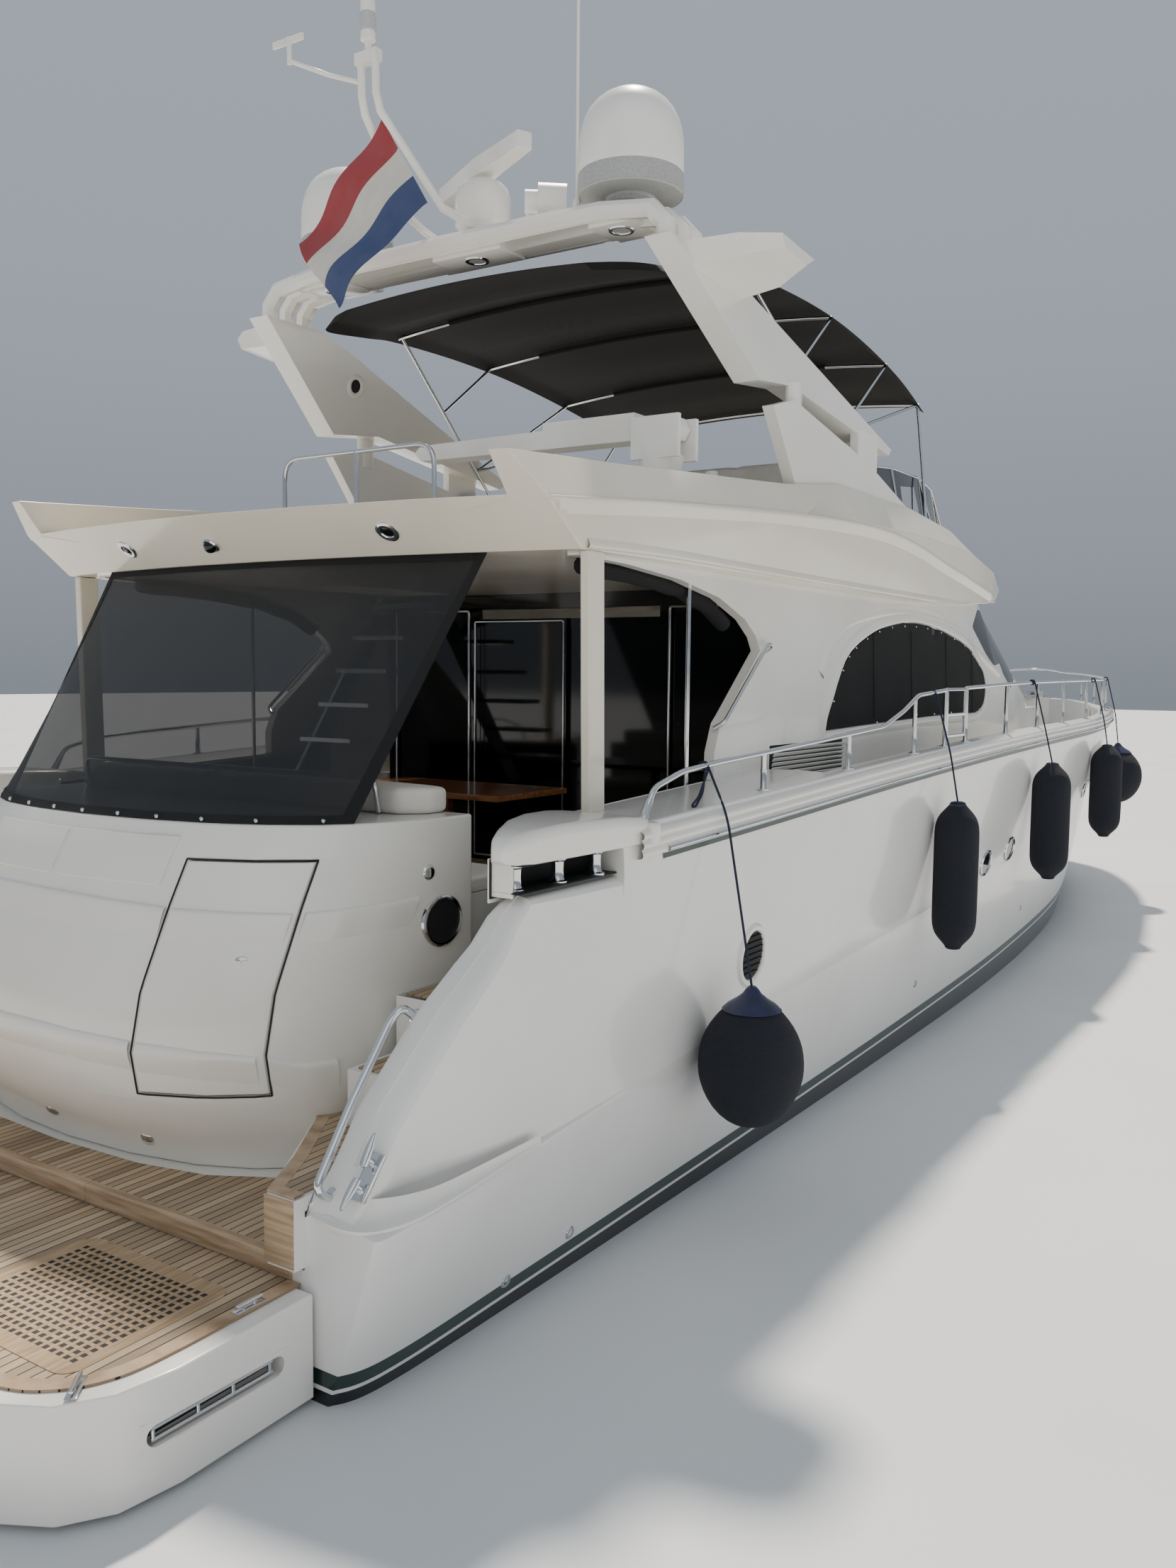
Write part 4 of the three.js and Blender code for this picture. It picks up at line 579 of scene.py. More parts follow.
def turned(shape, profile, at, axis=(0, 0, 1), steps=32):
    """Adds a solid of revolution from (radius, height) points, set by a point and axis or a placing"""
    part = bmesh.new()
    line = [part.verts.new((r, 0, h)) for r, h in profile]
    edges = [part.edges.new(pair) for pair in zip(line, line[1:])]
    bmesh.ops.spin(part, geom=line + edges, cent=(0, 0, 0), axis=(0, 0, 1), angle=math.tau, steps=steps,
                   use_merge=True)
    bmesh.ops.remove_doubles(part, verts=part.verts, dist=0.00002)
    append(shape, part, at if isinstance(at, Matrix) else aimed(at, axis))


def block(shape, low, high, radius=0.0, segments=2, matrix=None):
    """Adds a box between two corners with rounded edges"""
    low, high = Vector(low), Vector(high)
    part = bmesh.new()
    bmesh.ops.create_cube(part, size=1.0)
    bmesh.ops.scale(part, vec=high - low, verts=part.verts)
    bmesh.ops.translate(part, vec=(low + high) / 2, verts=part.verts)
    if radius:
        bmesh.ops.bevel(part, geom=part.edges[:], offset=radius, segments=segments, profile=0.5,
                        affect="EDGES", material=-1)
    append(shape, part, matrix)


cap = bmesh.new()
cap_rows = []
# y, inner x, outer x, underside, top: from the rounded aft end to where it joins the bulwark
for y, x0, x1, z0, z1 in ((0.85, 2.4, 2.44, 2.165, 2.2), (0.87, 2.375, 2.465, 2.145, 2.235),
                          (0.93, 2.33, 2.485, 2.135, 2.262), (1.04, 2.27, 2.5, 2.13, 2.28),
                          (1.25, 2.16, 2.515, 2.13, 2.29), (1.5, 2.06, 2.525, 2.13, 2.288),
                          (1.75, 2.01, 2.535, 2.13, 2.28), (1.92, 1.99, 2.54, 2.13, 2.265),
                          (1.97, 1.99, 2.53, 2.14, 2.255)):
    r = min(0.05, (z1 - z0) * 0.42)
    ring = []
    for c, b, a in (((x1, z0), (x0, z0), (x1, z1)), ((x1, z1), (x1, z0), (x0, z1)),
                    ((x0, z1), (x1, z1), (x0, z0)), ((x0, z0), (x0, z1), (x1, z0))):
        ring += rounded((c[0], y, c[1]), (b[0], y, b[1]), (a[0], y, a[1]), r if c[1] == z1 else r * 0.3, 5)
    cap_rows.append(ring + [ring[0]])
skin(cap, cap_rows)
bmesh.ops.remove_doubles(cap, verts=cap.verts, dist=0.0001)
bmesh.ops.holes_fill(cap, edges=[e for e in cap.edges if e.is_boundary], sides=0)
twinned(cap)
piece("quarter_caps", cap, white, "hull", 40)

rollers = bmesh.new()
for x, y in ((2.4, 1.01), (2.42, 1.315), (2.43, 1.62)):
    turned(rollers, [(0, 0.0), (0.047, 0.0), (0.047, 0.01), (0.034, 0.016), (0.03, 0.024), (0.0285, 0.06),
                     (0.03, 0.1), (0.04, 0.108), (0.042, 0.125), (0, 0.125)], (x, y, 2.006))
for x, y in ((2.482, 0.95), (2.497, 1.12), (2.507, 1.35), (2.517, 1.6), (2.53, 1.85)):
    turned(rollers, [(0, 0), (0.009, 0), (0.007, 0.004), (0, 0.005)], (x, y, 2.155), (1, 0, 0), 12)
twinned(rollers)
piece("fairlead_rollers", rollers, stainless, "hull")

# Fairlead: a moulded white panel closes the opening inboard; black sheets on it and
# under the cap are painted shade of the opening's depth, over a black sill plate,
# and a white block ends the sheer moulding.
# One black, both real rubber and, where it fills openings and recesses, painted shade
black_rubber_and_shade = mottled("black_rubber_and_painted_shade", "#131415", 0.7, 40.0, [(0.3, "#101112"), (0.7, "#1E2021")], 0.6, 0.8)
sill_and_shade_liners, cheeks = bmesh.new(), bmesh.new()
# Painted shade: the black sheets on the inboard panel and under the cap stand for the dark inside the fairlead;
# the sill's sheet is its black plate
block(sill_and_shade_liners, (2.31, 0.94, 1.97), (2.318, 1.76, 2.15), 0.002)
block(sill_and_shade_liners, (2.31, 0.95, 2.0), (2.476, 1.76, 2.008), 0.003)
block(sill_and_shade_liners, (2.31, 0.95, 2.126), (2.49, 1.76, 2.134), 0.002)
block(cheeks, (2.3, 0.95, 1.98), (2.43, 0.965, 2.15), 0.006, 3)
block(cheeks, (2.297, 0.945, 1.95), (2.309, 1.76, 2.15), 0.003)
block(cheeks, (2.1, 1.75, 1.94), (2.49, 1.96, 2.145), 0.012, 3)
block(cheeks, (2.4, 1.93, 2.12), (2.57, 2.02, 2.235), 0.02, 3)
for shape in (sill_and_shade_liners, cheeks):
    twinned(shape)
piece("fairlead_sill_and_shade_liners", sill_and_shade_liners, black_rubber_and_shade, "hull")
piece("fairlead_cheeks", cheeks, white, "hull")


# Wing fittings: each hand rail is bent stainless tube on two welded feet, and
# below it a cast horn cleat stands on its plate, canted with the wing.
def tubing(name, paths, radius, material=None, body="hull", bend=0.06, sides=4):
    """Round tube along paths of points, with bends of a given reach at their corners"""
    made = bpy.data.curves.new(name, "CURVE")
    made.dimensions = "3D"
    made.bevel_depth = radius
    made.bevel_resolution = sides
    made.use_fill_caps = True
    for path in paths:
        points = [Vector(path[0])]
        for before, corner, after in zip(path, path[1:], path[2:]):
            points += rounded(corner, before, after, bend, 6)
        points.append(Vector(path[-1]))
        line = made.splines.new("POLY")
        line.points.add(len(points) - 1)
        for target, p in zip(line.points, points):
            target.co = (*p, 1)
    holder = bpy.data.objects.new(name + "_line", made)
    bpy.context.scene.collection.objects.link(holder)
    mesh = bpy.data.meshes.new_from_object(holder.evaluated_get(bpy.context.evaluated_depsgraph_get()))
    bpy.data.objects.remove(holder)
    shape = bmesh.new()
    shape.from_mesh(mesh)
    bpy.data.meshes.remove(mesh)
    bmesh.ops.remove_doubles(shape, verts=shape.verts, dist=0.00005)
    return piece(name, shape, material or stainless, body, 50)


def port_too(paths):
    """The same paths on the other side as well"""
    return paths + [[(-x, y, z) for x, y, z in path] for path in paths]


tubing("wing_hand_rails", port_too([[(2.185, 0.6, 1.49), (2.16, 0.53, 1.55), (2.13, 0.49, 1.49),
                                     (2.14, 0.24, 1.2), (2.15, 0.035, 0.93), (2.155, 0.045, 0.89),
                                     (2.16, 0.13, 0.84)]]), 0.0185, bend=0.035)
cleats = bmesh.new()
for x, y, z, lean in ((2.185, 0.59, 1.5, 51), (2.158, 0.115, 0.868, 60)):
    seat = Matrix.Translation((x, y, z)) @ Matrix.Rotation(math.radians(lean), 4, "X")
    turned(cleats, [(0, -0.01), (0.034, -0.01), (0.034, 0.004), (0.026, 0.01), (0, 0.01)], seat.translation,
           seat.to_3x3() @ Vector((0, 0, 1)), 24)
canted = Matrix.Translation((2.31, 0.16, 0.957)) @ Matrix.Rotation(math.radians(52), 4, "X")
block(cleats, (-0.036, -0.1, -0.01), (0.036, 0.1, 0.012), 0.005, matrix=canted)
for k in (-1, 1):
    turned(cleats, [(0, 0), (0.022, 0), (0.016, 0.025), (0.016, 0.062), (0, 0.062)],
           canted @ Vector((0, 0.055 * k, 0)), canted.to_3x3() @ Vector((0, 0, 1)), 16)
    turned(cleats, [(0, -0.035), (0.017, -0.028), (0.019, 0.0), (0.017, 0.05), (0.008, 0.1), (0, 0.108)],
           canted @ Vector((0, 0.055 * k, 0.062)), canted.to_3x3() @ Vector((0, k, 0.12)), 16)
twinned(cleats)
piece("wing_cleats", cleats, stainless, "hull")

# Portlights and skin fittings let into the topsides: oval rings of stainless
# round dark glass, an engine-room louvre aft, and discharge rings by the waterline.
dark_glass = mottled("dark_tinted_safety_glass", "#07090B", 0.05, 1.3, [(0.3, "#060809"), (0.7, "#0C1013")],
                     0.04, 0.08)


def landing(made):
    """What a fitting can be set on: the tree of a finished piece's faces"""
    shape = bmesh.new()
    shape.from_mesh(made.data)
    found = BVHTree.FromBMesh(shape)
    shape.free()
    return found


def from_starboard(tree, y, z):
    """Where a level ray from starboard meets a surface, and its normal there"""
    return tree.ray_cast((4, y, z), (-1, 0, 0))[:2]


def facing(at, outward):
    """The placing on a surface with +Z outward and +Y up"""
    z = Vector(outward).normalized()
    x = Vector((0, 0, 1)).cross(z).normalized()
    return Matrix.Translation(at) @ Matrix((x, z.cross(x), z)).transposed().to_4x4()


sides = landing(hull)
rings, panes, louvres, rim = (bmesh.new() for _ in range(4))
# y, z, half width, half height of the oval portlights
for y, z, rx, rz in ((7.97, 1.3, 0.17, 0.12), (8.79, 1.34, 0.17, 0.12), (10.9, 1.5, 0.15, 0.11),
                     (12.7, 1.62, 0.15, 0.11)):
    seat = facing(*from_starboard(sides, y, z)) @ Matrix.Diagonal((rx, rz, 1, 1))
    turned(rings, [(0.8, -0.01), (0.83, 0.008), (0.9, 0.016), (1.0, 0.01), (1.04, -0.01)], seat, steps=40)
    turned(panes, [(0.0, 0.004), (0.83, 0.004), (0.83, -0.01), (0, -0.01)], seat, steps=40)
seat = facing(*from_starboard(sides, 3.165, 1.34))
oval = seat @ Matrix.Diagonal((0.17, 0.185, 1, 1))
turned(rim, [(0.78, -0.004), (0.79, 0.01), (0.84, 0.018), (0.95, 0.016), (1.08, -0.004)], oval, steps=48)
turned(louvres, [(0.0, 0.003), (0.8, 0.003), (0.8, -0.004), (0, -0.004)], oval, steps=40)
for k in range(-3, 4):
    half = 0.125 * math.sqrt(1 - (k / 3.9) ** 2)
    tilt = seat @ Matrix.Translation((0, k * 0.036, 0.006)) @ Matrix.Rotation(0.6, 4, "X")
    block(louvres, (-half, -0.013, -0.0025), (half, 0.013, 0.0025), 0.001, matrix=tilt)
for y, z, r in ((1.05, 0.17, 0.03), (1.55, 0.22, 0.03), (6.4, 0.5, 0.028), (9.8, 0.6, 0.028)):
    turned(rings, [(r * 0.55, -0.004), (r * 0.6, 0.006), (r, 0.006), (r * 1.25, -0.004)],
           *from_starboard(sides, y, z), 24)
for shape in (rings, panes, louvres, rim):
    twinned(shape)
piece("blower_louvres", louvres, black_rubber_and_shade, "hull")
piece("blower_rims", rim, white, "hull")
piece("portlight_rings", rings, stainless, "hull")
piece("portlight_panes", panes, dark_glass, "hull")

# Swim platform: a glass-fibre moulding on a lift, laid with teak planks that run
# fore and aft, black caulking between them and a margin plank round the edge.
dressed("swim_platform", white, 0.03, 4)


def laid_teak(name, axis="X", pitch=0.05, origin=0.0, caulk=0.006):
    """Oiled teak planks of one pitch across an axis, with black caulk between, silvered in places"""
    made, tree, shader = coat(name, "#B98E5F", 0.62)
    spot = place(tree)
    parts = node(tree, "SeparateXYZ", {"Vector": spot})
    count = maths(tree, "MULTIPLY", maths(tree, "SUBTRACT", parts.outputs[axis], origin), 1 / pitch)
    seam = maths(tree, "LESS_THAN", maths(tree, "FRACT", count), caulk / pitch)
    own = node(tree, "TexWhiteNoise", {"W": maths(tree, "FLOOR", count)}, noise_dimensions="1D")
    stretch = (55, 4, 55) if axis == "X" else (4, 55, 55)
    grain = node(tree, "TexNoise", {"Vector": node(tree, "Mapping",
                                                   {"Vector": spot, "Scale": stretch}).outputs[0],
                                    "Scale": 1.0, "Detail": 6.0, "Roughness": 0.65})
    worn = node(tree, "TexNoise", {"Vector": spot, "Scale": 1.7, "Detail": 4.0})
    mean = maths(tree, "MULTIPLY", maths(tree, "ADD", grain.outputs["Fac"], own.outputs["Value"]), 0.5)
    tone = node(tree, "ValToRGB", {"Fac": mean},
                stops=[(0.2, "#8B755A"), (0.45, "#AA9273"), (0.62, "#BEA685"), (0.85, "#CDB899")])
    silver = node(tree, "MapRange", {"Value": worn.outputs["Fac"], "From Min": 0.4, "From Max": 0.7,
                                     "To Max": 0.35})
    aged = node(tree, "Mix", {"Factor": silver.outputs["Result"], 6: tone.outputs["Color"],
                              7: linear("#A79B8A")},
                data_type="RGBA")
    colour = node(tree, "Mix", {"Factor": seam, 6: aged.outputs[2], 7: linear("#15130F")}, data_type="RGBA")
    tree.links.new(colour.outputs[2], shader.inputs["Base Color"])
    raised(tree, shader, maths(tree, "SUBTRACT", grain.outputs["Fac"], seam), 0.0012, 0.7)
    return made


teak_along = laid_teak("laid_teak_planks_fore_and_aft")
teak_across = laid_teak("laid_teak_margin_across", "Y", 0.14, 0.02)


def faced(shape, way):
    """Turns a sheet's faces so that most of them look along a direction"""
    bmesh.ops.recalc_face_normals(shape, faces=shape.faces)
    if sum(f.normal.dot(Vector(way)) * f.calc_area() for f in shape.faces) < 0:
        bmesh.ops.reverse_faces(shape, faces=shape.faces)


def slab(shape, outlines, level, thick):
    """Fills flat outlines, of which the inner ones are holes, and thickens them upward"""
    for ring in outlines:
        verts = [shape.verts.new((x, y, level)) for x, y in ring]
        for a, b in zip(verts, verts[1:] + verts[:1]):
            shape.edges.new((a, b))
    bmesh.ops.triangle_fill(shape, edges=shape.edges[:], use_beauty=True, use_dissolve=False)
    faced(shape, (0, 0, 1))
    done = bmesh.ops.extrude_face_region(shape, geom=shape.faces[:])
    bmesh.ops.translate(shape, vec=(0, 0, thick), verts=[g for g in done["geom"]
                                                         if isinstance(g, bmesh.types.BMVert)])
    bmesh.ops.recalc_face_normals(shape, faces=shape.faces)


def deck(name, outline, bottom, material=teak_along, body="hull", thick=0.009):
    """A laid panel of one thickness on an outline in plan"""
    shape = bmesh.new()
    slab(shape, [outline], bottom, thick)
    return piece(name, shape, material, body, 30)


def mirrored_ring(half):
    """A closed plan from the points of its starboard half, front to back"""
    return half + [(-x, y) for x, y in reversed(half)]


def smooth_plan(points, steps=6):
    """Plan points on a smooth curve through the given ones"""
    return [tuple(r[:2]) for r in rows_between([list(p) for p in points], steps)]


edge = smooth_plan([(2.03, 0.0565), (2.03, -0.6), (1.99, -0.83), (1.88, -0.98), (1.7, -1.07), (1.2, -1.175),
                    (0.6, -1.235), (0.0, -1.25)])
field = mirrored_ring(edge)
PLATFORM_TOP = 0.4703
deck("platform_teak", field, PLATFORM_TOP, body="swim_platform")
margin = bmesh.new()
outer = edge
inner = smooth_plan([(1.96, 0.0565), (1.96, -0.6), (1.93, -0.8), (1.84, -0.92), (1.68, -1.0), (1.2, -1.1),
                     (0.6, -1.165), (0.0, -1.18)])
# The plank stands a little over the field, and its inner edge is let down into it
skin(margin, [[Vector((x, y, PLATFORM_TOP + up)) for x, y in line]
              for line, up in ((outer, 0.0098), (outer, 0.0112), (inner, 0.0112), (inner, 0.008))])
twinned(margin)


def streaks(tree, stretch, detail=6.0):
    """A wood's grain: an even noise drawn out by a scale along each axis"""
    lines = node(tree, "Mapping", {"Vector": place(tree), "Scale": stretch})
    return node(tree, "TexNoise", {"Vector": lines.outputs[0], "Scale": 1.0,
                                   "Detail": detail}).outputs["Fac"]


def plain_teak(name, stretch):
    """A single plank of teak"""
    made, tree, shader = coat(name, "#B98E5F", 0.6)
    grain = streaks(tree, stretch)
    toned(tree, shader, grain, [(0.3, "#957A5B"), (0.5, "#B3987A"), (0.7, "#C7AF90")], 0.5, 0.7)
    raised(tree, shader, grain, 0.0006)
    return made


plank = plain_teak("steamed_teak_margin_plank", (7, 7, 7))
piece("platform_margin", margin, plank, "swim_platform")

# Platform slot: cut through each side of the moulding with round ends, a black
# sheet at its back as painted shade of its depth, and a folded ladder of polished
# tube stowed in it.
surround = bmesh.new()
corners = [(-0.775, 0.2), (-0.105, 0.2), (-0.105, 0.315), (-0.775, 0.315)]
stadium = [(middle + way * 0.041 * math.cos(math.radians(t)),
            0.2575 + way * 0.041 * math.sin(math.radians(t)))
           for middle, way in ((-0.165, 1), (-0.715, -1)) for t in range(-90, 91, 15)]
slab(surround, [corners, stadium], 0, 0.005)
for v in surround.verts:
    y, z, out = v.co
    v.co = (2.1195 + out - max(-0.62 - y, 0) * 0.165, y, z)
twinned(surround)
piece("platform_slot_surround", surround, white, "swim_platform")
# Painted shade: a black sheet at the slot's back for the dark of its depth
slot_back_shade = bmesh.new()
block(slot_back_shade, (2.031, -0.755, 0.218), (2.036, -0.125, 0.297), 0.001)
twinned(slot_back_shade)
piece("platform_slot_painted_shade", slot_back_shade, black_rubber_and_shade, "swim_platform")
tubing("stowed_ladder", port_too([[(2.088, -0.73, z), (2.1, -0.17, z)] for z in (0.236, 0.279)] +
                                 [[(x, y, 0.236), (x, y, 0.279)] for x,
                                  y in ((2.088, -0.72), (2.09, -0.52), (2.096, -0.36),
                                                                              (2.1, -0.18))]),
       0.0085, body="swim_platform", bend=0.01)

# Platform gratings: teak drainage panels with a lattice of square holes, flush in
# the planking, the holes painted near-black as painted shade seen through them, and
# polished folding cleats screwed down beside them.
grating_teak_painted_holes, tree, shader = coat("teak_grating_with_holes_painted_as_shade", "#A87F52", 0.6)
parts = node(tree, "SeparateXYZ", {"Vector": place(tree)})
HOLE_PITCH = 0.042
cells = []
for axis in ("X", "Y"):
    share = maths(tree, "FRACT", maths(tree, "MULTIPLY", parts.outputs[axis], 1 / HOLE_PITCH))
    cells.append(maths(tree, "ABSOLUTE", maths(tree, "SUBTRACT", share, 0.5)))
# Holes, painted dark as shade rather than cut, lie within this share of the pitch from their middle, and only
# inside the border
inside_it = maths(tree, "LESS_THAN", maths(tree, "MAXIMUM", *cells), 0.29)
wide = maths(tree, "ABSOLUTE", parts.outputs["X"])
for source, low, high in ((wide, 1.008, 1.806), (parts.outputs["Y"], -0.84, -0.21)):
    inside_it = maths(tree, "MULTIPLY", inside_it, maths(tree, "GREATER_THAN", source, low))
    inside_it = maths(tree, "MULTIPLY", inside_it, maths(tree, "LESS_THAN", source, high))
tone = node(tree, "ValToRGB", {"Fac": streaks(tree, (50, 5, 50), 5.0)},
            stops=[(0.3, "#917859"), (0.7, "#BDA27E")])
# Painted shade: the holes take a near-black colour for the dark seen through them
hole_shade_mix = node(tree, "Mix", {"Factor": inside_it, 6: tone.outputs["Color"], 7: linear("#120E0A")},
             data_type="RGBA")
tree.links.new(hole_shade_mix.outputs[2], shader.inputs["Base Color"])
raised(tree, shader, maths(tree, "SUBTRACT", 1.0, inside_it), 0.004)
SIDES = ((1, "starboard"), (-1, "port"))
for side, name in SIDES:
    ring = []
    for cx, cy, first in ((1.78, -0.22, 0), (1.03, -0.22, 90), (1.03, -0.83, 180), (1.78, -0.83, 270)):
        for k in range(7):
            a = math.radians(first + 15 * k)
            ring.append((side * (cx + 0.08 * math.cos(a)), cy + 0.08 * math.sin(a)))
    deck(f"platform_grating_{name}", ring, 0.4785, grating_teak_painted_holes, "swim_platform", 0.0035)
popups = bmesh.new()
for x, y, turn in ((2.0, -0.19, 0), (1.945, -0.922, 0.7)):
    seat = Matrix.Translation((x, y, 0.4795)) @ Matrix.Rotation(turn, 4, "Z")
    block(popups, (-0.022, -0.075, 0), (0.022, 0.075, 0.006), 0.003, matrix=seat)
    turned(popups, [(0, -0.07), (0.008, -0.065), (0.01, 0), (0.008, 0.065), (0, 0.07)],
           seat @ Vector((0, 0, 0.022)), seat.to_3x3() @ Vector((0, 1, 0)), 12)
    for k in (-0.03, 0.03):
        turned(popups, [(0.008, 0), (0.008, 0.02)], seat @ Vector((0, k, 0.002)), steps=10)
twinned(popups)
piece("platform_cleats", popups, stainless, "swim_platform")

# Transom island: one white moulding between the quarters that holds the aft
# locker; its door to starboard stands in a dark rubber joint, and two blank boards
# are bonded side by side near its top.
island = dressed("transom_island", white, 0.02, 3)
aft_face = landing(island)


def from_astern(tree, x, z):
    """Where a level ray from astern meets a surface, and its normal there"""
    return tree.ray_cast((x, -2, z), (0, 1, 0))[:2]


def spread(low, high, count):
    """Evenly spaced numbers from low to high"""
    return [low + (high - low) * k / count for k in range(count + 1)]


for k, (x0, x1) in enumerate(((-0.72, -0.02), (0.02, 0.72))):
    board = bmesh.new()
    hits = [[from_astern(aft_face, x, z) for x in spread(x0, x1, 12)] for z in spread(1.94, 2.16, 6)]
    skin(board, [[at + normal * 0.014 for at, normal in row] for row in hits])
    faced(board, (0, -1, 0))
    bmesh.ops.solidify(board, geom=board.faces[:], thickness=0.022)
    bmesh.ops.recalc_face_normals(board, faces=board.faces)
    soften(piece(f"stern_board_{k + 1}", board, white, "hull", 40), 0.005)
door = dressed("transom_door", white, 0.006)
door_face = landing(door)
# body, face, and the x and z of each crease's crest
for k, (body, face, points) in enumerate((
        ("hull", aft_face, ((-1.45, 1.87), (0.0, 1.87), (0.8, 1.845))),
        ("hull", aft_face, ((1.365, 1.828), (1.45, 1.834), (1.56, 1.845))),
        ("hull", aft_face, ((-1.3, 1.27), (0.0, 1.28), (0.8, 1.25))),
        ("hull", aft_face, ((1.35, 1.19), (1.42, 1.15), (1.5, 1.13))),
        ("transom_door", door_face, ((0.84, 1.843), (1.1, 1.836), (1.325, 1.829))),
        ("transom_door", door_face, ((0.84, 1.248), (1.1, 1.225), (1.32, 1.195))))):
    shape = bmesh.new()
    rows = []
    for low, out in ((-0.15, -0.002), (-0.11, 0.004), (-0.07, 0.0095), (-0.035, 0.0145), (-0.018, 0.016),
                     (-0.008, 0.0145), (-0.001, 0.01), (0.003, 0.003), (0.006, -0.003)):
        row = []
        for x, z in smooth_plan(points, 10):
            at, normal = from_astern(face, x, z + low)
            row.append(at + normal * out if at else rows[-1][len(row)])
        rows.append(row)
    skin(shape, rows)
    faced(shape, (0, -1, 0))
    piece(f"island_crease_{k + 1}", shape, white, body, 45)
knobs, mouth = bmesh.new(), bmesh.new()
seat = facing((1.5752, 1.5, 1.7), (1, 0, 0)) @ Matrix.Diagonal((0.15, 0.13, 1, 1))
turned(knobs, [(0.86, -0.004), (0.87, 0.012), (0.95, 0.016), (1.02, 0.01), (1.05, -0.004)], seat, steps=40)
# Painted shade: a flat black oval stands for the dark inside the inlet behind its polished rim
turned(mouth, [(0, 0.004), (0.87, 0.004), (0.87, -0.004), (0, -0.004)], seat, steps=40)
piece("island_inlet_shade_disc", mouth, black_rubber_and_shade, "hull")
x0, x1, z0, z1 = 0.812, 1.348, 1.0, 2.068
heights, widths = spread(z0, z1, 16), spread(0.86, 1.3, 6)
joint = [(x0, z) for z in heights] + [(x, z1) for x in widths]
joint += [(x1, z) for z in heights[::-1]] + [(x, z0) for x in widths[::-1]]
landed = [from_astern(aft_face, x, z) for x, z in joint + joint[:1]]
tubing("transom_door_gasket", [[tuple(a + n * 0.0015) for a, n in landed if a]], 0.0045, black_rubber_and_shade,
       bend=0.002, sides=2)
latch = bmesh.new()
turned(latch, [(0, 0.005), (0.022, 0.005), (0.028, 0.003), (0.03, -0.004)],
       facing(*from_astern(door_face, 1.2, 1.63)) @ Matrix.Diagonal((1.0, 0.5, 1, 1)))
piece("transom_door_latch", latch, stainless, "transom_door")
for x, z in ((-1.28, 1.45), (0.0, 0.724), (0.62, 0.678), (1.563, 1.96)):
    at, out = from_astern(aft_face, x, z)
    if at:
        turned(knobs, [(0, 0.012), (0.02, 0.012), (0.034, 0.007), (0.04, 0.0)], at, out, 24)
piece("island_fittings", knobs, stainless, "hull")

# Teak underfoot: a raised step along the island's foot, treads on the stairs and
# quarter ledges, and the cockpit sole, each a laid panel bonded to the gelcoat.
# Solid planks edge the step and the ledges, and clad the ledges' aft ends.
nosing_plank = plain_teak("teak_nosing_plank", (3, 45, 45))
deck("foot_step_teak", [(1.96, 0.1), (1.96, 0.7), (1.55, 0.86), (1.3, 0.62), (1.0, 0.45), (0.6, 0.36),
                        (0.0, 0.33), (-0.6, 0.36), (-1.0, 0.45), (-1.3, 0.62), (-1.55, 0.86), (-1.96, 0.7),
                        (-1.96, 0.1)],
     0.5605)
nosing = bmesh.new()
for x0, x1 in ((-1.98, -0.7), (-0.698, 0.62), (0.622, 1.98)):
    block(nosing, (x0, 0.0495, 0.4835), (x1, 0.104, 0.5712), 0.006, 3)
for side in (1, -1):
    x0, x1 = sorted((side * 1.888, side * 2.053))
    block(nosing, (x0, -0.007, 0.566), (x1, 0.001, 0.8495), 0.002)
piece("foot_step_nosing", nosing, nosing_plank, "hull")
SOLE_TOP, LEDGE_TOP = 1.4005, 0.8505
deck("stair_tread_low", [(1.66, 0.79), (2.03, 0.79), (2.03, 1.08), (1.66, 1.08)], 1.1205)
deck("cockpit_step_teak", [(1.66, 1.13), (2.03, 1.13), (2.03, 1.74), (1.66, 1.74)], SOLE_TOP)
for side, name in SIDES:
    ring = [(1.28, 0.93), (1.46, 0.74), (1.73, 0.34), (1.91, 0.03), (2.03, 0.03), (2.03, 0.73),
            (1.62, 0.74), (1.61, 0.93)]
    if side < 0:
        ring = [(-x, y) for x, y in ring][::-1]
    deck(f"ledge_teak_{name}", ring, LEDGE_TOP)
    brim = bmesh.new()
    outer = ((1.262, 0.93), (1.45, 0.725), (1.72, 0.32), (1.888, 0.012), (2.045, 0.012))
    inner = ((1.33, 0.93), (1.5, 0.755), (1.775, 0.35), (1.93, 0.07), (2.045, 0.07))
    skin(brim, [[Vector((side * x, y, LEDGE_TOP + up)) for x, y in line]
                for line, up in ((outer, 0.0001), (outer, 0.0109), (inner, 0.0109), (inner, 0.0061))])
    faced(brim, (0, 0, 1))
    piece(f"ledge_margin_{name}", brim, plank, "hull")
sole = mirrored_ring([(1.93, 2.3), (1.93, 3.96), (1.6, 3.96), (1.6, 4.54), (1.93, 4.54), (1.93, 4.86)])
deck("cockpit_sole_teak", sole, SOLE_TOP)
for name, x0, x1 in (("starboard", 1.66, 1.96), ("port", -1.96, -1.66)):
    deck(f"side_step_teak_{name}", [(x0, 4.03), (x1, 4.03), (x1, 4.47), (x0, 4.47)], 1.7405)

# Cockpit cushions: foam in white marine vinyl with piped edges; the back rest is
# topped by a polished steel hand rail.
vinyl, tree, shader = coat("white_marine_vinyl", "#EFECE4", 0.55, Sheen_Weight=0.1)
leather = node(tree, "TexVoronoi", {"Vector": place(tree), "Scale": 260.0})
soft = node(tree, "TexNoise", {"Vector": place(tree), "Scale": 3.0, "Detail": 4.0})
toned(tree, shader, soft.outputs["Fac"], [(0.3, "#E4DFD4"), (0.7, "#F3F0E9")], 0.48, 0.62)
raised(tree, shader, leather.outputs["Distance"], 0.0008, 0.6)


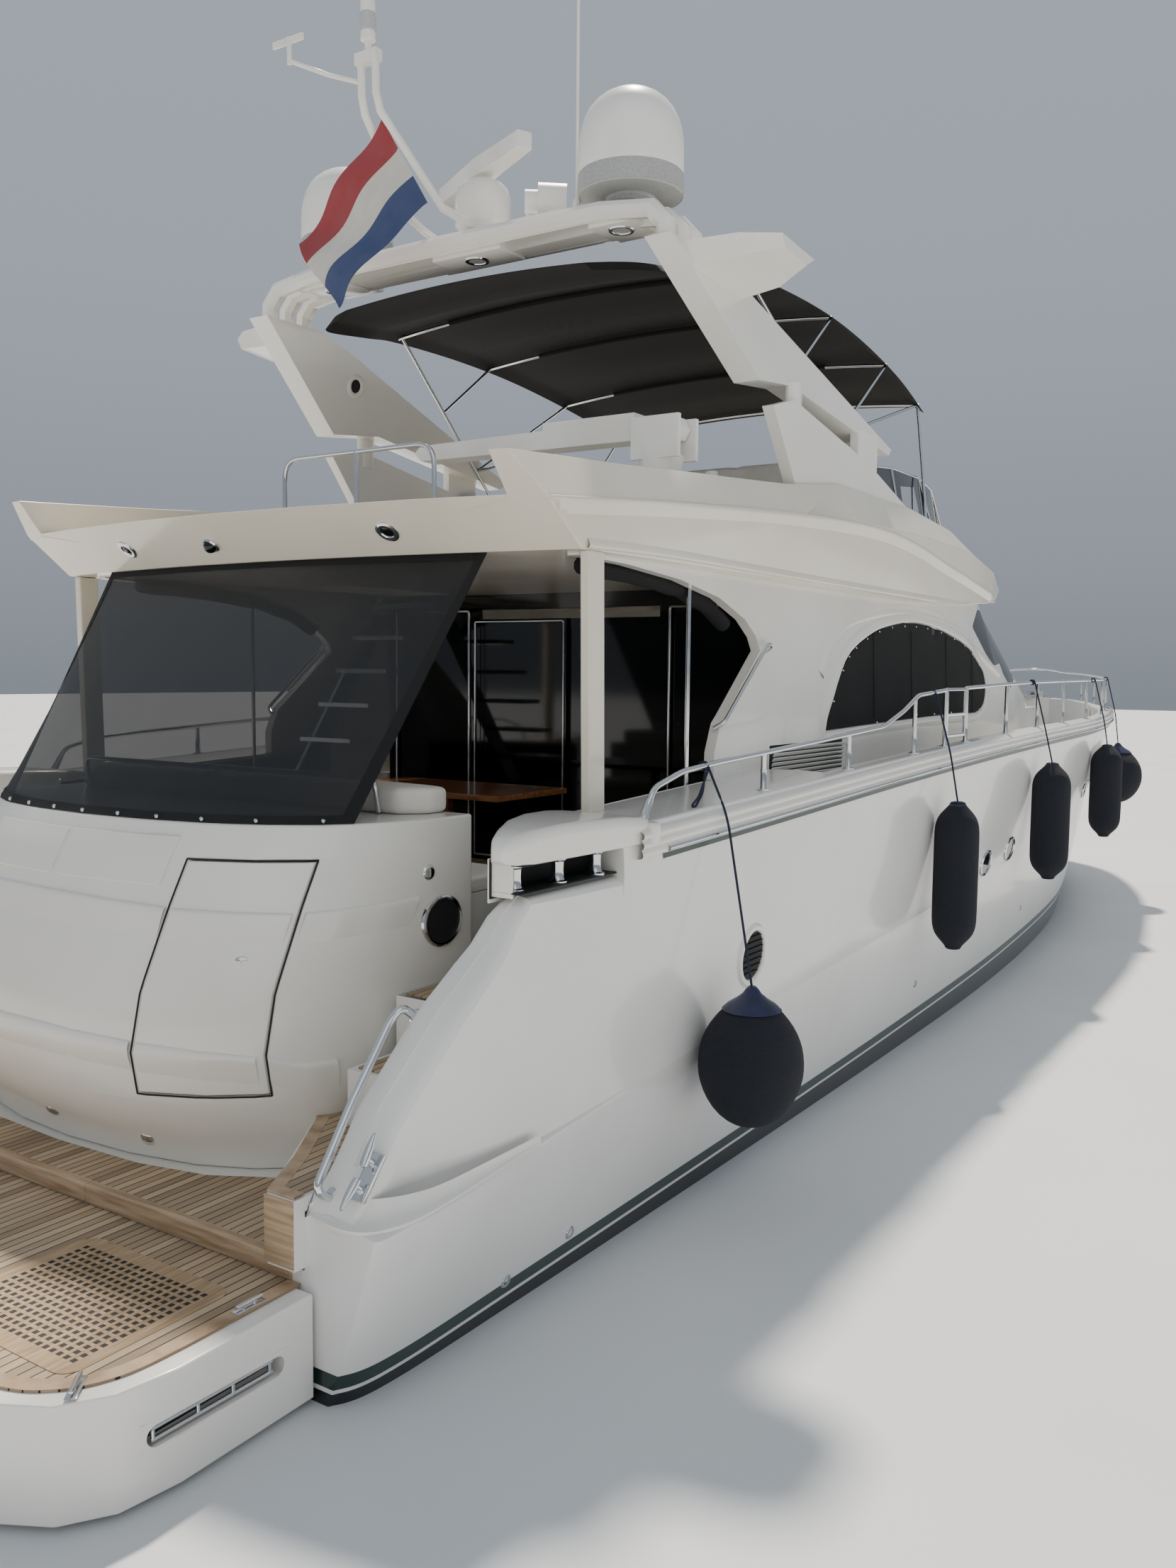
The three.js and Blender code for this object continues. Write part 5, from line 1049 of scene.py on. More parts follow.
def cushion(cad, material, puff=0.02, seams=(), width=0.035):
    """A padded piece on a CAD cushion's place: crowned, edges rounded, seams drawn in"""
    low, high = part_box(cad)
    shape = merged(cad)
    bmesh.ops.bevel(shape, geom=[e for e in shape.edges if e.calc_face_angle(0) > 0.5], offset=width,
                    segments=4, profile=0.5, affect="EDGES", material=-1, clamp_overlap=True)
    bmesh.ops.triangulate(shape, faces=shape.faces)
    for _ in range(6):
        long = [e for e in shape.edges if e.calc_length() > 0.11]
        if not long:
            break
        bmesh.ops.subdivide_edges(shape, edges=long, cuts=1)
        bmesh.ops.triangulate(shape, faces=[f for f in shape.faces if len(f.verts) > 3])
    middle = (Vector(low) + Vector(high)) / 2
    half = (Vector(high) - Vector(low)) / 2
    for v in shape.verts:
        u = (v.co.x - middle.x) / half.x
        w = (v.co.y - middle.y) / half.y
        t = (v.co.z - low[2]) / (2 * half.z)
        crown = (1 - u * u) * (1 - w * w)
        v.co.z += puff * (max(crown, 0) ** 0.5 - 0.75) * max(t * 2 - 1, 0)
        for axis, at, reach in seams:
            d = abs((v.co.x if axis == "X" else v.co.y) - at) / reach
            if d < 1 and t > 0.4:
                v.co.z -= 0.014 * (1 - d) ** 2
    made = piece(cad + "_padded", shape, material, bodies[cad], 60)
    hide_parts(cad)
    finer = made.modifiers.new("smooth", "SUBSURF")
    finer.levels = finer.render_levels = 1
    return made


cushion("seat_cushion", vinyl, 0.03, [("X", x, 0.03) for x in (-0.75, 0.0, 0.75)], 0.03)
cushion("back_cushion", vinyl, 0.02, [("X", x, 0.03) for x in (-0.72, 0.0, 0.72)], 0.04)
tubing("back_rest_rail", [[(-1.2, 1.44, 2.24), (-1.2, 1.4, 2.42), (1.2, 1.4, 2.42), (1.2, 1.44, 2.24)],
                          [(0, 1.44, 2.24), (0, 1.4, 2.42)]], 0.0145, bend=0.06)

# Cockpit table: edge-glued teak boards under many coats of varnish, screwed to a
# round column that is bolted to the sole.
varnished, tree, shader = coat("varnished_teak", "#9A6234", 0.18, Coat_Weight=0.6)
toned(tree, shader, streaks(tree, (4, 40, 40)), [(0.3, "#7C4A24"), (0.7, "#AD7443")], 0.14, 0.24)
dressed("cockpit_table", varnished, 0.008)

# Deckhouse: the white glass-fibre shell round the saloon, with a raised frame
# round each arched side window and louvred vents let into its flanks.
dressed("deckhouse", white, 0.0)
house = landing(frame["nodes"]["deckhouse"])
glass_side = landing(frame["nodes"]["side_window_starboard"])
for cad in ("windscreen", "side_window_starboard", "side_window_port"):
    dressed(cad, dark_glass, 0.0)
# y and z round the side window
WINDOW = [(5.33, 2.56), (5.68, 3.01), (5.96, 3.19), (6.47, 3.34), (7.09, 3.42), (7.72, 3.42), (8.5, 3.33),
          (9.1, 3.19), (9.56, 2.96), (9.3, 2.64), (8.4, 2.622), (7.4, 2.602), (6.4, 2.582)]


def wall_at(y, z, out=0.0):
    """A point on the deckhouse's starboard flank, over the glass as well"""
    hits = [from_starboard(t, y, z)[0] for t in (house, glass_side)]
    best = max((h for h in hits if h and h.x > 1.2), key=lambda h: h.x, default=Vector((1.95, y, z)))
    return best + Vector((out, 0, 0))


centre = Vector((7.4, 2.9))


def ring_band(name, points, reaches, outs, material):
    """A moulded band that follows a ring of window points, its section given by reach and height"""
    shape = bmesh.new()
    rows = []
    for reach, out in zip(reaches, outs):
        row = []
        for k, p in enumerate(points):
            before, after = Vector(points[k - 1]), Vector(points[(k + 1) % len(points)])
            along = (after - before).normalized()
            outward = Vector((along.y, -along.x))
            if outward.dot(Vector(p) - centre) < 0:
                outward = -outward
            q = Vector(p) + outward * reach
            # The opened gate's rails pass close by the frame's foot
            row.append(wall_at(q.x, q.y, min(out, 0.003) if 5.9 < q.x < 7.7 and q.y < 2.8 else out))
        rows.append(row + [row[0]])
    skin(shape, rows)
    bmesh.ops.remove_doubles(shape, verts=shape.verts, dist=0.0001)
    faced(shape, (1, 0, 0))
    twinned(shape)
    return piece(name, shape, material, "hull", 60)


ring = smooth_plan(WINDOW, 4)
ring_band("window_frames", ring, (0.0, 0.004, 0.03, 0.075, 0.09), (0.002, 0.016, 0.022, 0.016, -0.004),
          white)

# Window covers: black acrylic canvas cut to the side windows, stretched over them
# on snap fasteners, with a hem round the edge and vertical seams.
canvas, tree, shader = coat("black_acrylic_canvas", "#0B0C0E", 0.95)
spot = place(tree)
warp = node(tree, "TexWave", {"Vector": spot, "Scale": 105.0}, bands_direction="Y")
weft = node(tree, "TexWave", {"Vector": spot, "Scale": 105.0}, bands_direction="Z")
faded = node(tree, "TexNoise", {"Vector": spot, "Scale": 2.5, "Detail": 4.0})
weave = maths(tree, "MULTIPLY", warp.outputs["Fac"], weft.outputs["Fac"])
both = maths(tree, "ADD", faded.outputs["Fac"], maths(tree, "MULTIPLY", weave, 0.35))
toned(tree, shader, both, [(0.3, "#08090A"), (0.7, "#141517")], 0.88, 0.98)
raised(tree, shader, weave, 0.0006)
cover = bmesh.new()
inner_ring = []
for k, p in enumerate(ring):
    q = Vector(p) + (centre - Vector(p)) * 0.012
    inner_ring.append(cover.verts.new((0, q.x, q.y)))
edges = [cover.edges.new(pair) for pair in zip(inner_ring, inner_ring[1:] + inner_ring[:1])]
bmesh.ops.triangle_fill(cover, edges=edges, use_beauty=True, use_dissolve=False)
for _ in range(5):
    long = [e for e in cover.edges if e.calc_length() > 0.12]
    bmesh.ops.subdivide_edges(cover, edges=long, cuts=1)
    bmesh.ops.triangulate(cover, faces=[f for f in cover.faces if len(f.verts) > 3])
    bmesh.ops.beautify_fill(cover, faces=cover.faces[:],
                            edges=[e for e in cover.edges if not e.is_boundary])
cover_area = sum(f.calc_area() for f in cover.faces)
for v in cover.verts:
    ripple = 0.004 * math.sin(v.co.y * 9) * math.sin(v.co.z * 5)
    v.co = wall_at(v.co.y, v.co.z, 0.012 + (0 if v.is_boundary else ripple))
faced(cover, (1, 0, 0))


def port_copy(shape):
    """The same shape on the other side, its faces still outward"""
    other = shape.copy()
    bmesh.ops.scale(other, vec=(-1, 1, 1), verts=other.verts)
    bmesh.ops.reverse_faces(other, faces=other.faces)
    return other


for side, name in SIDES:
    shape = cover.copy() if side > 0 else port_copy(cover)
    made = piece(f"window_cover_{name}", shape, canvas, "hull", 40)
seams = []
for y in (6.35, 7.25, 8.2, 9.0):
    top = max(z for p, q in zip(ring, ring[1:]) for z in (p[1], q[1])
              if min(p[0], q[0]) - 0.3 < y < max(p[0], q[0]) + 0.3)
    seams.append([tuple(wall_at(y, z, 0.019)) for z in spread(2.62, top - 0.08, 8)])
tubing("window_cover_seams", port_too(seams), 0.003, canvas, bend=0.01, sides=2)
snaps = bmesh.new()
for k in range(0, len(ring), 2):
    q = Vector(ring[k]) + (centre - Vector(ring[k])).normalized() * 0.035
    turned(snaps, [(0, 0.006), (0.006, 0.005), (0.009, 0.0), (0.009, -0.004)], wall_at(q.x, q.y, 0.014),
           (1, 0, 0), 12)
twinned(snaps)
piece("window_cover_snaps", snaps, stainless, "hull")

# Beads moulded in the sides: an arch over each window, and along the flybridge a
# ridge at half its height and a lip on its lower edge.
flyside = landing(frame["nodes"]["flybridge"])
BEAD = ((-0.09, -0.003), (-0.06, 0.007), (-0.03, 0.014), (-0.012, 0.0175), (0.0, 0.016), (0.006, 0.009),
        (0.01, -0.003))
# The flybridge beads take its warm-tinted gelcoat, which is painted shade
for name, trees, material, section_of_it, points in (
        ("window_arches", (house, glass_side), white,
         ((-0.06, -0.002), (-0.052, 0.012), (-0.03, 0.016), (0.0, 0.013),
                                                       (0.03, 0.006), (0.05, -0.003)),
         ((5.3, 2.98), (5.54, 3.245), (6.0, 3.42), (7.22, 3.54), (8.47, 3.425), (9.4, 3.22),
          (10.17, 3.018))),
        ("fly_side_ridges", (flyside,), shade_cream, BEAD,
         ((1.62, 3.828), (2.28, 3.88), (3.1, 3.947), (4.5, 4.04), (6.2, 4.071), (8.0, 3.903), (9.3, 3.8),
          (10.4, 3.73))),
        ("fly_lower_lips", (flyside,), shade_cream, ((-0.015, -0.006), (-0.013, 0.012), (-0.004, 0.019),
                                               (0.01, 0.016), (0.03, 0.006), (0.045, -0.003)),
         ((2.0, 3.622), (2.83, 3.632), (3.9, 3.626), (5.3, 3.62), (7.2, 3.617), (9.0, 3.617)))):
    path = [Vector(p) for p in smooth_plan(points, 8)]
    shape = bmesh.new()
    rows = []
    for d, out in section_of_it:
        row = []
        for k, p in enumerate(path):
            along = (path[min(k + 1, len(path) - 1)] - path[max(k - 1, 0)]).normalized()
            q = p + Vector((-along.y, along.x)) * d
            hits = [h for h in (from_starboard(t, q.x, q.y)[0] for t in trees) if h and h.x > 1.2]
            row.append(max(hits, key=lambda h: h.x) + Vector((out, 0, 0)) if hits else
                       (row[-1] if row else Vector((2.0, q.x, q.y))))
        rows.append(row)
    skin(shape, rows)
    faced(shape, (1, 0, 0))
    other = port_copy(shape)
    mesh = bpy.data.meshes.new("other")
    other.to_mesh(mesh)
    other.free()
    shape.from_mesh(mesh)
    bpy.data.meshes.remove(mesh)
    piece(name, shape, material, "hull", 60)

# Louvred vents: white moulded slats, one over the other, screwed into a swept
# opening of each flank, with a black block behind them as painted shade of the
# opening, and bent steel hand rails aft of them.
vent, slats = bmesh.new(), bmesh.new()
x = max(wall_at(4.45, 2.3).x, wall_at(5.7, 2.45).x)
# Painted shade: the black block behind the slats stands for the dark inside the opening
block(vent, (x - 0.03, 4.43, 2.25), (x + 0.003, 5.72, 2.49), 0.003)
for k in range(7):
    low = 2.262 + 0.032 * k
    tilt = Matrix.Translation((x + 0.008, 5.06 + 0.01 * k, low)) @ Matrix.Rotation(0.6, 4, "Y")
    block(slats, (-0.004, -0.63, -0.014), (0.004, 0.63, 0.014), 0.003, matrix=tilt)
for shape in (vent, slats):
    twinned(shape)
piece("vent_recess_shade_blocks", vent, black_rubber_and_shade, "hull")
piece("vent_slats", slats, white, "hull")
tubing("house_hand_rails", port_too([[(1.98, 4.38, 3.12), (2.05, 4.36, 3.16), (2.05, 4.31, 3.18),
                                      (2.05, 3.69, 2.67), (1.99, 3.66, 2.63)],
                                     [(1.93, 3.42, 2.2), (1.93, 3.42, 3.5)]]), 0.0145, bend=0.03)

# Saloon bulkhead and its sliding door: dark toughened glass held in polished steel
# frames, the fixed panes bonded and the door hung on a track.
for cad in ("saloon_frame", "saloon_door", "saloon_fixed_leaf"):
    dressed(cad, dark_glass, 0.0)
rims = []
for x0, x1 in ((-1.76, -0.96), (0.96, 1.76)):
    rims.append([(x0, 4.895, 1.5), (x0, 4.895, 3.47), (x1, 4.895, 3.47), (x1, 4.895, 1.5),
                 (x0, 4.895, 1.5)])
tubing("saloon_frame_rims", rims, 0.012, bend=0.02)
tubing("saloon_door_rim", [[(-0.88, 4.872, 1.45), (-0.88, 4.872, 3.38), (0.01, 4.872, 3.38),
                            (0.01, 4.872, 1.45), (-0.88, 4.872, 1.45)]], 0.008, body="saloon_door",
                            bend=0.02)

# Flybridge: a white moulding over the cockpit and the deckhouse, its gelcoat given a
# warm tint as painted shade, with two round lights and a small camera dome in its
# aft fascia.
dressed("flybridge", shade_cream, 0.03, 4)
lights, lenses = bmesh.new(), bmesh.new()
for x in (-1.08, 1.08):
    at, out = from_astern(flyside, x, 3.71)
    turned(lights, [(0.035, 0.004), (0.04, 0.01), (0.055, 0.012), (0.068, 0.006), (0.07, -0.002)], at, out)
    turned(lenses, [(0, 0.014), (0.02, 0.012), (0.036, 0.004), (0.036, -0.002)], at, out)
at, out = from_astern(flyside, -0.25, 3.7)
turned(lights, [(0.0, 0.0), (0.05, 0.0), (0.052, 0.01), (0.045, 0.02)], at, out)
turned(lenses, [(0, 0.055), (0.02, 0.05), (0.035, 0.036), (0.04, 0.018)], at, out)
piece("fascia_light_rings", lights, stainless, "hull")
piece("fascia_light_lenses", lenses, dark_glass, "hull")
for cad in ("pillar_starboard", "pillar_port"):
    dressed(cad, shade_cream, 0.012)
dressed("fly_stairs", stainless, 0.004)

# Fly windscreen: bent panels of smoked acrylic, clamped between upright tubes of a
# polished steel frame that is bolted to the coaming.
smoked = mottled("smoked_acrylic_sheet", "#2A3236", 0.04, 4.0, [(0.3, "#252C30"), (0.7, "#30393E")], 0.03,
                 0.07, 3.0, Transmission_Weight=0.75, IOR=1.49)
dressed("fly_windscreen", smoked, 0.0)
# The starboard half of the panels' upper and lower edges, from aft to the middle
SCREEN_TOP = [(1.93, 6.0, 4.6), (1.89, 6.95, 4.7), (1.8, 7.9, 4.745), (1.68, 8.6, 4.735),
              (1.15, 8.8, 4.735), (0.6, 8.95, 4.735), (0.0, 9.0, 4.735)]
SCREEN_FOOT = [(1.938, 6.0, 4.37), (1.938, 7.0, 4.37), (1.9, 8.0, 4.31), (1.76, 8.85, 4.22),
               (1.3, 9.18, 4.19), (0.7, 9.33, 4.17), (0, 9.4, 4.165)]
rim = SCREEN_TOP + [(-x, y, z) for x, y, z in reversed(SCREEN_TOP[:-1])]
mullions = [[a, b] for a, b in zip(SCREEN_FOOT[:-1], SCREEN_TOP[:-1])]
tubing("fly_windscreen_frame", [[SCREEN_FOOT[0]] + rim + [(-SCREEN_FOOT[0][0],
                                                           ) + SCREEN_FOOT[0][1:]]] + port_too(mullions),
       0.011, bend=0.05)

# Radar arch: white mouldings for the legs, side wings and fins, three crowned
# tubes across with lamp plates between them, and turned pads for the aerials.
for cad in ("arch_leg_starboard", "arch_leg_port"):
    dressed(cad, white, 0.014, 3)
dressed("arch_bridge", white, 0.006)
plates, haloes, bulbs = bmesh.new(), bmesh.new(), bmesh.new()
for x, half in ((-1.2, 0.2), (0.14, 0.29), (1.3, 0.17)):
    block(plates, (x - half, 3.47, 5.772), (x + half, 3.76, 5.797), 0.006)
    turned(haloes, [(0.058, -0.002), (0.062, 0.008), (0.08, 0.009), (0.086, -0.002)], (x, 3.6, 5.772),
           (0, 0, -1))
    turned(bulbs, [(0, 0.004), (0.058, 0.003), (0.058, -0.004), (0, -0.004)], (x, 3.6, 5.772), (0, 0, -1))
piece("arch_lamp_plates", plates, white, "hull")
piece("arch_lamp_rings", haloes, stainless, "hull")
speakers, grilles = bmesh.new(), bmesh.new()
leg = landing(frame["nodes"]["arch_leg_port"])
at, out, _, _ = leg.ray_cast((-1.0, 4.35, 5.28), (-1, 0, 0))
if at:
    turned(speakers, [(0.05, 0.0), (0.06, 0.012), (0.08, 0.014), (0.092, 0.004), (0.092, -0.004)], at, out)
    turned(grilles, [(0, 0.01), (0.03, 0.006), (0.052, 0.004), (0.052, -0.004)], at, out)
    twinned(speakers)
    twinned(grilles)
piece("arch_speaker_rings", speakers, white, "hull")
piece("arch_speaker_cones", grilles, black_rubber_and_shade, "hull")

# Aerial domes: vacuum-formed white plastic over the dishes, each on a grey band
# and a flared base that is bolted down.
moulded, tree, shader = coat("white_moulded_plastic", "#F2F1ED", 0.32)
pebble = node(tree, "TexNoise", {"Vector": place(tree), "Scale": 220.0, "Detail": 2.0})
cast_tone = node(tree, "TexNoise", {"Vector": place(tree), "Scale": 2.0})
toned(tree, shader, cast_tone.outputs["Fac"], [(0.35, "#E9E7E1"), (0.65, "#F5F4F1")], 0.28, 0.38)
raised(tree, shader, pebble.outputs["Fac"], 0.0004, 0.4)
greyed = mottled("grey_painted_aluminium", "#A9ABAA", 0.42, 90.0, [(0.3, "#9C9E9D"), (0.7, "#B3B5B4")],
                 0.36, 0.5)
# radius and height
DOME = [(0, 0), (0.19, 0), (0.19, 0.022), (0.175, 0.03), (0.152, 0.06), (0.15, 0.085), (0.163, 0.1),
        (0.3, 0.106), (0.332, 0.112), (0.336, 0.125), (0.336, 0.24), (0.34, 0.25), (0.3405, 0.29),
        (0.34, 0.41), (0.336, 0.47), (0.325, 0.53), (0.305, 0.59), (0.278, 0.642), (0.241, 0.687),
        (0.195, 0.724), (0.149, 0.75), (0.098, 0.77), (0.05, 0.781), (0, 0.784)]
for x, name in ((1.25, "starboard"), (-1.25, "port")):
    foot = (x, 3.79, 5.9253)
    dome = bmesh.new()
    turned(dome, DOME[8:], foot, steps=64)
    made = piece(f"dome_{name}_shell", dome, moulded, "hull", 30)
    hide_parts(f"dome_{name}")
    base = bmesh.new()
    turned(base, DOME[:9] + [(0.3, 0.112), (0, 0.115)], foot, steps=64)
    turned(base, [(0.335, 0.113), (0.3415, 0.118), (0.3425, 0.24), (0.335, 0.247)], foot, steps=64)
    piece(f"dome_{name}_base", base, greyed, "hull", 30)
    bolts = bmesh.new()
    for k in range(8):
        a = math.tau * (k + 0.5) / 8
        turned(bolts, [(0, 0.012), (0.008, 0.012), (0.011, 0.004), (0.011, 0)],
               (x + 0.178 * math.cos(a), foot[1] + 0.178 * math.sin(a), 5.944), steps=10)
    piece(f"dome_{name}_bolts", bolts, stainless, "hull")

# Open-array radar: a sealed bar moulded of white plastic, which turns on the drum
# of its gearbox over the arch.
dressed("radar_scanner", moulded, 0.03, 4)

# Mast: white painted tubes welded up, with a lamp under a frosted lens and a wind
# vane on an arm; the horn on the arch is moulded plastic.
dressed("mast", white, 0.0, crease=60)
dressed("horn", moulded, 0.02, 4)
lamp_glass = mottled("frosted_lamp_glass", "#DDE3E6", 0.2, 120.0, [(0.3, "#CFD6DA"), (0.7, "#E8ECEE")],
                     0.15, 0.3, Transmission_Weight=0.5)
piece("arch_lamp_glasses", bulbs, lamp_glass, "hull")
lamps = bmesh.new()
turned(lamps, [(0.0485, 0.05), (0.052, 0.06), (0.052, 0.15), (0.0485, 0.16)], (0, 2.68, 6.88), steps=24)
piece("mast_lamp_lens", lamps, lamp_glass, "hull")

# Flag: a worn printed cloth in three bands, made fast along a tube of the mast and
# drooping from it in soft folds.
cloth, tree, shader = coat("printed_polyester_flag_cloth", "#B8B9BE", 0.85)
spread_uv = node(tree, "UVMap", uv_map="cloth")
parts = node(tree, "SeparateXYZ", {"Vector": spread_uv.outputs["UV"]})
bands = node(tree, "ValToRGB", {"Fac": parts.outputs["X"]},
             stops=[(0.0, "#9E2F35"), (0.34, "#D9D8D2"), (0.67, "#2C4274")])
bands.color_ramp.interpolation = "CONSTANT"
soil = node(tree, "TexNoise", {"Vector": spread_uv.outputs["UV"], "Scale": 5.0, "Detail": 4.0})
dim = node(tree, "MapRange", {"Value": soil.outputs["Fac"], "To Min": 0.0, "To Max": 0.35})
faint = node(tree, "Mix", {"Factor": dim.outputs["Result"], 6: bands.outputs["Color"],
                           7: linear("#77797F")},
             data_type="RGBA")
tree.links.new(faint.outputs[2], shader.inputs["Base Color"])
threads = node(tree, "TexWave", {"Vector": spread_uv.outputs["UV"], "Scale": 120.0})
raised(tree, shader, threads.outputs["Fac"], 0.0004)
# x, y, z of the upper edge and of the lower edge, from the mast outward
FLAG = [[0.0455, 2.752, 6.43, 0.1035, 3.12, 6.02], [-0.09, 2.77, 6.33, -0.01, 3.0, 5.86],
        [-0.23, 2.76, 6.2, -0.11, 2.9, 5.7], [-0.38, 2.75, 6.06, -0.22, 2.84, 5.56],
        [-0.54, 2.75, 5.92, -0.33, 2.8, 5.44], [-0.69, 2.75, 5.79, -0.4, 2.78, 5.35]]
DOWN = 16
columns = rows_between(FLAG, 5)
flag = bmesh.new()
rows = []
for u, row in enumerate(columns):
    top, low = Vector(row[:3]), Vector(row[3:])
    share = u / (len(columns) - 1)
    rows.append([top.lerp(low, v) + Vector((0, 0.003 + 0.045 * share ** 0.5 * math.sin(9.5 * share + 5.2 * v), 0))
                 for v in spread(0, 1, DOWN)])
skin(flag, rows)
layer = flag.loops.layers.uv.new("cloth")
flag.verts.ensure_lookup_table()
for f in flag.faces:
    for corner in f.loops:
        index = corner.vert.index
        corner[layer].uv = ((index % (DOWN + 1)) / DOWN, (index // (DOWN + 1)) / (len(rows) - 1))
flag_area = sum(f.calc_area() for f in flag.faces)
bmesh.ops.recalc_face_normals(flag, faces=flag.faces)
made = piece("flag_cloth", flag, cloth, "hull", 60)
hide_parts("flag")


def thickened(made, thickness, offset=-1.0):
    """Gives a cloth its thickness"""
    cloth = made.modifiers.new("cloth", "SOLIDIFY")
    cloth.thickness, cloth.offset = thickness, offset


thickened(made, 0.002)

# Bimini: black acrylic canvas over bent steel hoops, seamed along each hoop and
# sagging a little between them, with polished V struts and a front stay.
# y, half width, edge level, crown
CANOPY = [[3.56, 1.12, 5.6, 0.05], [3.64, 1.33, 5.592, 0.07], [3.8, 1.46, 5.604, 0.086],
          [4.3, 1.54, 5.68, 0.09], [4.8, 1.68, 5.77, 0.09], [5.7, 1.72, 5.8, 0.09], [6.6, 1.72, 5.76, 0.09],
          [7.6, 1.7, 5.64, 0.09], [8.42, 1.66, 5.48, 0.09]]
HOOPS = (3.56, 4.8, 6.1, 7.35, 8.3)
ACROSS = 32
canopy = bmesh.new()
rows = []
for y, half, z, crown in rows_between(CANOPY, 8):
    gap = min(abs(y - h) for h in HOOPS)
    sag = 0.028 * min(gap / 0.5, 1) ** 2
    row = [Vector((u * half, y, z + crown * (1 - u * u) - sag * (1 - u ** 4) - 0.002))
           for u in spread(-1, 1, ACROSS)]
    row[0] += Vector((0.012, 0, -0.05))
    row[-1] += Vector((-0.012, 0, -0.05))
    rows.append(row)
skin(canopy, rows)
canopy_area = sum(f.calc_area() for f in canopy.faces)
faced(canopy, (0, 0, 1))
made = piece("bimini_cloth", canopy, canvas, "hull", 50)
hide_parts("bimini_canopy")
thickened(made, 0.004)


def canopy_point(y, u, drop=0.0):
    """A point under the canopy, at a share of its half width"""
    half, z = looked_up(CANOPY, y, 1), looked_up(CANOPY, y, 2)
    return Vector((u * (half - 0.03), y, z + 0.09 * (1 - u * u) - 0.027 - drop))


def hoop_end(y, inset=0.04):
    """The starboard end of a hoop"""
    return Vector((looked_up(CANOPY, y, 1) - inset, y, looked_up(CANOPY, y, 2) - 0.025))


foot = Vector((1.906, 6.79, 4.27))
main = hoop_end(4.8, 0.08)
struts = [[main, foot], [hoop_end(6.1), main.lerp(foot, 0.33)], [hoop_end(7.35), main.lerp(foot, 0.62)],
          [hoop_end(8.3), main.lerp(foot, 0.62)], [hoop_end(8.3), Vector((1.994, 7.585, 4.255))]]
paths = [[tuple(canopy_point(y, u)) for u in spread(-1, 1, 16)] for y in HOOPS[1:]]
paths += port_too([[tuple(p) for p in s] for s in struts])
frame_tubes = tubing("bimini_hoops", paths, 0.0135, bend=0.04)
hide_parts("bimini_frame")
pockets = [[tuple(canopy_point(y, u, -0.003)) for u in spread(-0.66, 0.66, 14)] for y in HOOPS[1:-1]]
tubing("bimini_pockets", pockets, 0.0205, canvas, bend=0.04)

# Sunshade: black PVC-coated mesh laced down from the overhang to the island, with
# a doubled hem round it and snap fasteners along its lower edge.
mesh_cloth, tree, shader = coat("black_coated_polyester_mesh", "#14171B", 0.7, Alpha=0.93)
spot = place(tree)
warp = node(tree, "TexWave", {"Vector": spot, "Scale": 80.0}, bands_direction="X")
weft = node(tree, "TexWave", {"Vector": spot, "Scale": 80.0}, bands_direction="Z")
weave = maths(tree, "MULTIPLY", warp.outputs["Fac"], weft.outputs["Fac"])
toned(tree, shader, weave, [(0.0, "#0B0D10"), (0.6, "#1B2026")], 0.6, 0.85)
raised(tree, shader, weave, 0.0008)
hem_cloth, tree, shader = coat("black_hem_webbing", "#0F1012", 0.85)
rib = node(tree, "TexWave", {"Vector": place(tree), "Scale": 160.0}, bands_direction="Z")
toned(tree, shader, rib.outputs["Fac"], [(0.2, "#0B0C0D"), (0.8, "#1A1B1D")], 0.8, 0.95)
raised(tree, shader, rib.outputs["Fac"], 0.0005)
# x across, and how far forward of its middle the island's top edge stands there
PLAN = [(0, 0), (0.45, 0.028), (0.85, 0.115), (1.12, 0.24), (1.32, 0.4), (1.46, 0.6), (1.54, 0.86)]
# Half its width at the overhang and at the island
TOP_HALF, FOOT_HALF = 1.56, 1.4
shade = bmesh.new()
rows = []
for v in spread(0, 1, 20):
    row = []
    for u in spread(-1, 1, 28):
        top = Vector((u * TOP_HALF, 1.76 + 0.23 * (u * TOP_HALF / 2.11) ** 2 + 0.004, 3.5997))
        low = Vector((u * FOOT_HALF, 0.52 + looked_up(PLAN, abs(u) * FOOT_HALF, 1) + 0.012, 2.2303))
        sag = 0.035 * math.sin(math.pi * v) * (1 - u ** 4)
        row.append(low.lerp(top, v) + Vector((0, 0.4 * sag, -0.6 * sag)))
    rows.append(row)
skin(shade, rows)
faced(shade, (0, -1, 0))
shade_area = sum(f.calc_area() for f in shade.faces)
shade_sheet = piece("sunshade_mesh", shade, mesh_cloth, "hull", 50)
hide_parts("sunshade")
hems = bmesh.new()
for k in (0, -1):
    other = [p.lerp(q, 0.035 / max((q - p).length, 0.01) * 1.4) for p,
             q in zip(rows[k], rows[1 if k == 0 else -2])]
    skin(hems, [[p + Vector((0, -0.004, 0.002)) for p in line] for line in (rows[k], other)])
for j in (0, -1):
    line = [row[j] for row in rows]
    inner_line = [row[1 if j == 0 else -2] for row in rows]
    skin(hems, [[p + Vector((0, -0.004, 0.001)) for p in line],
                [p.lerp(q, 0.45) + Vector((0, -0.004, 0.001)) for p, q in zip(line, inner_line)]])
bmesh.ops.recalc_face_normals(hems, faces=hems.faces)
hem = piece("sunshade_hems", hems, hem_cloth, "hull", 50)
thickened(hem, 0.003, 0)
snaps = bmesh.new()
for u in spread(-0.94, 0.94, 10):
    p = Vector((u * FOOT_HALF, 0.52 + looked_up(PLAN, abs(u) * FOOT_HALF, 1) + 0.004, 2.25))
    turned(snaps, [(0, 0.008), (0.007, 0.007), (0.011, 0.0), (0.011, -0.004)], p, (0, -0.85, 0.5), 12)
snap_fasteners = piece("sunshade_snaps", snaps, stainless, "hull")

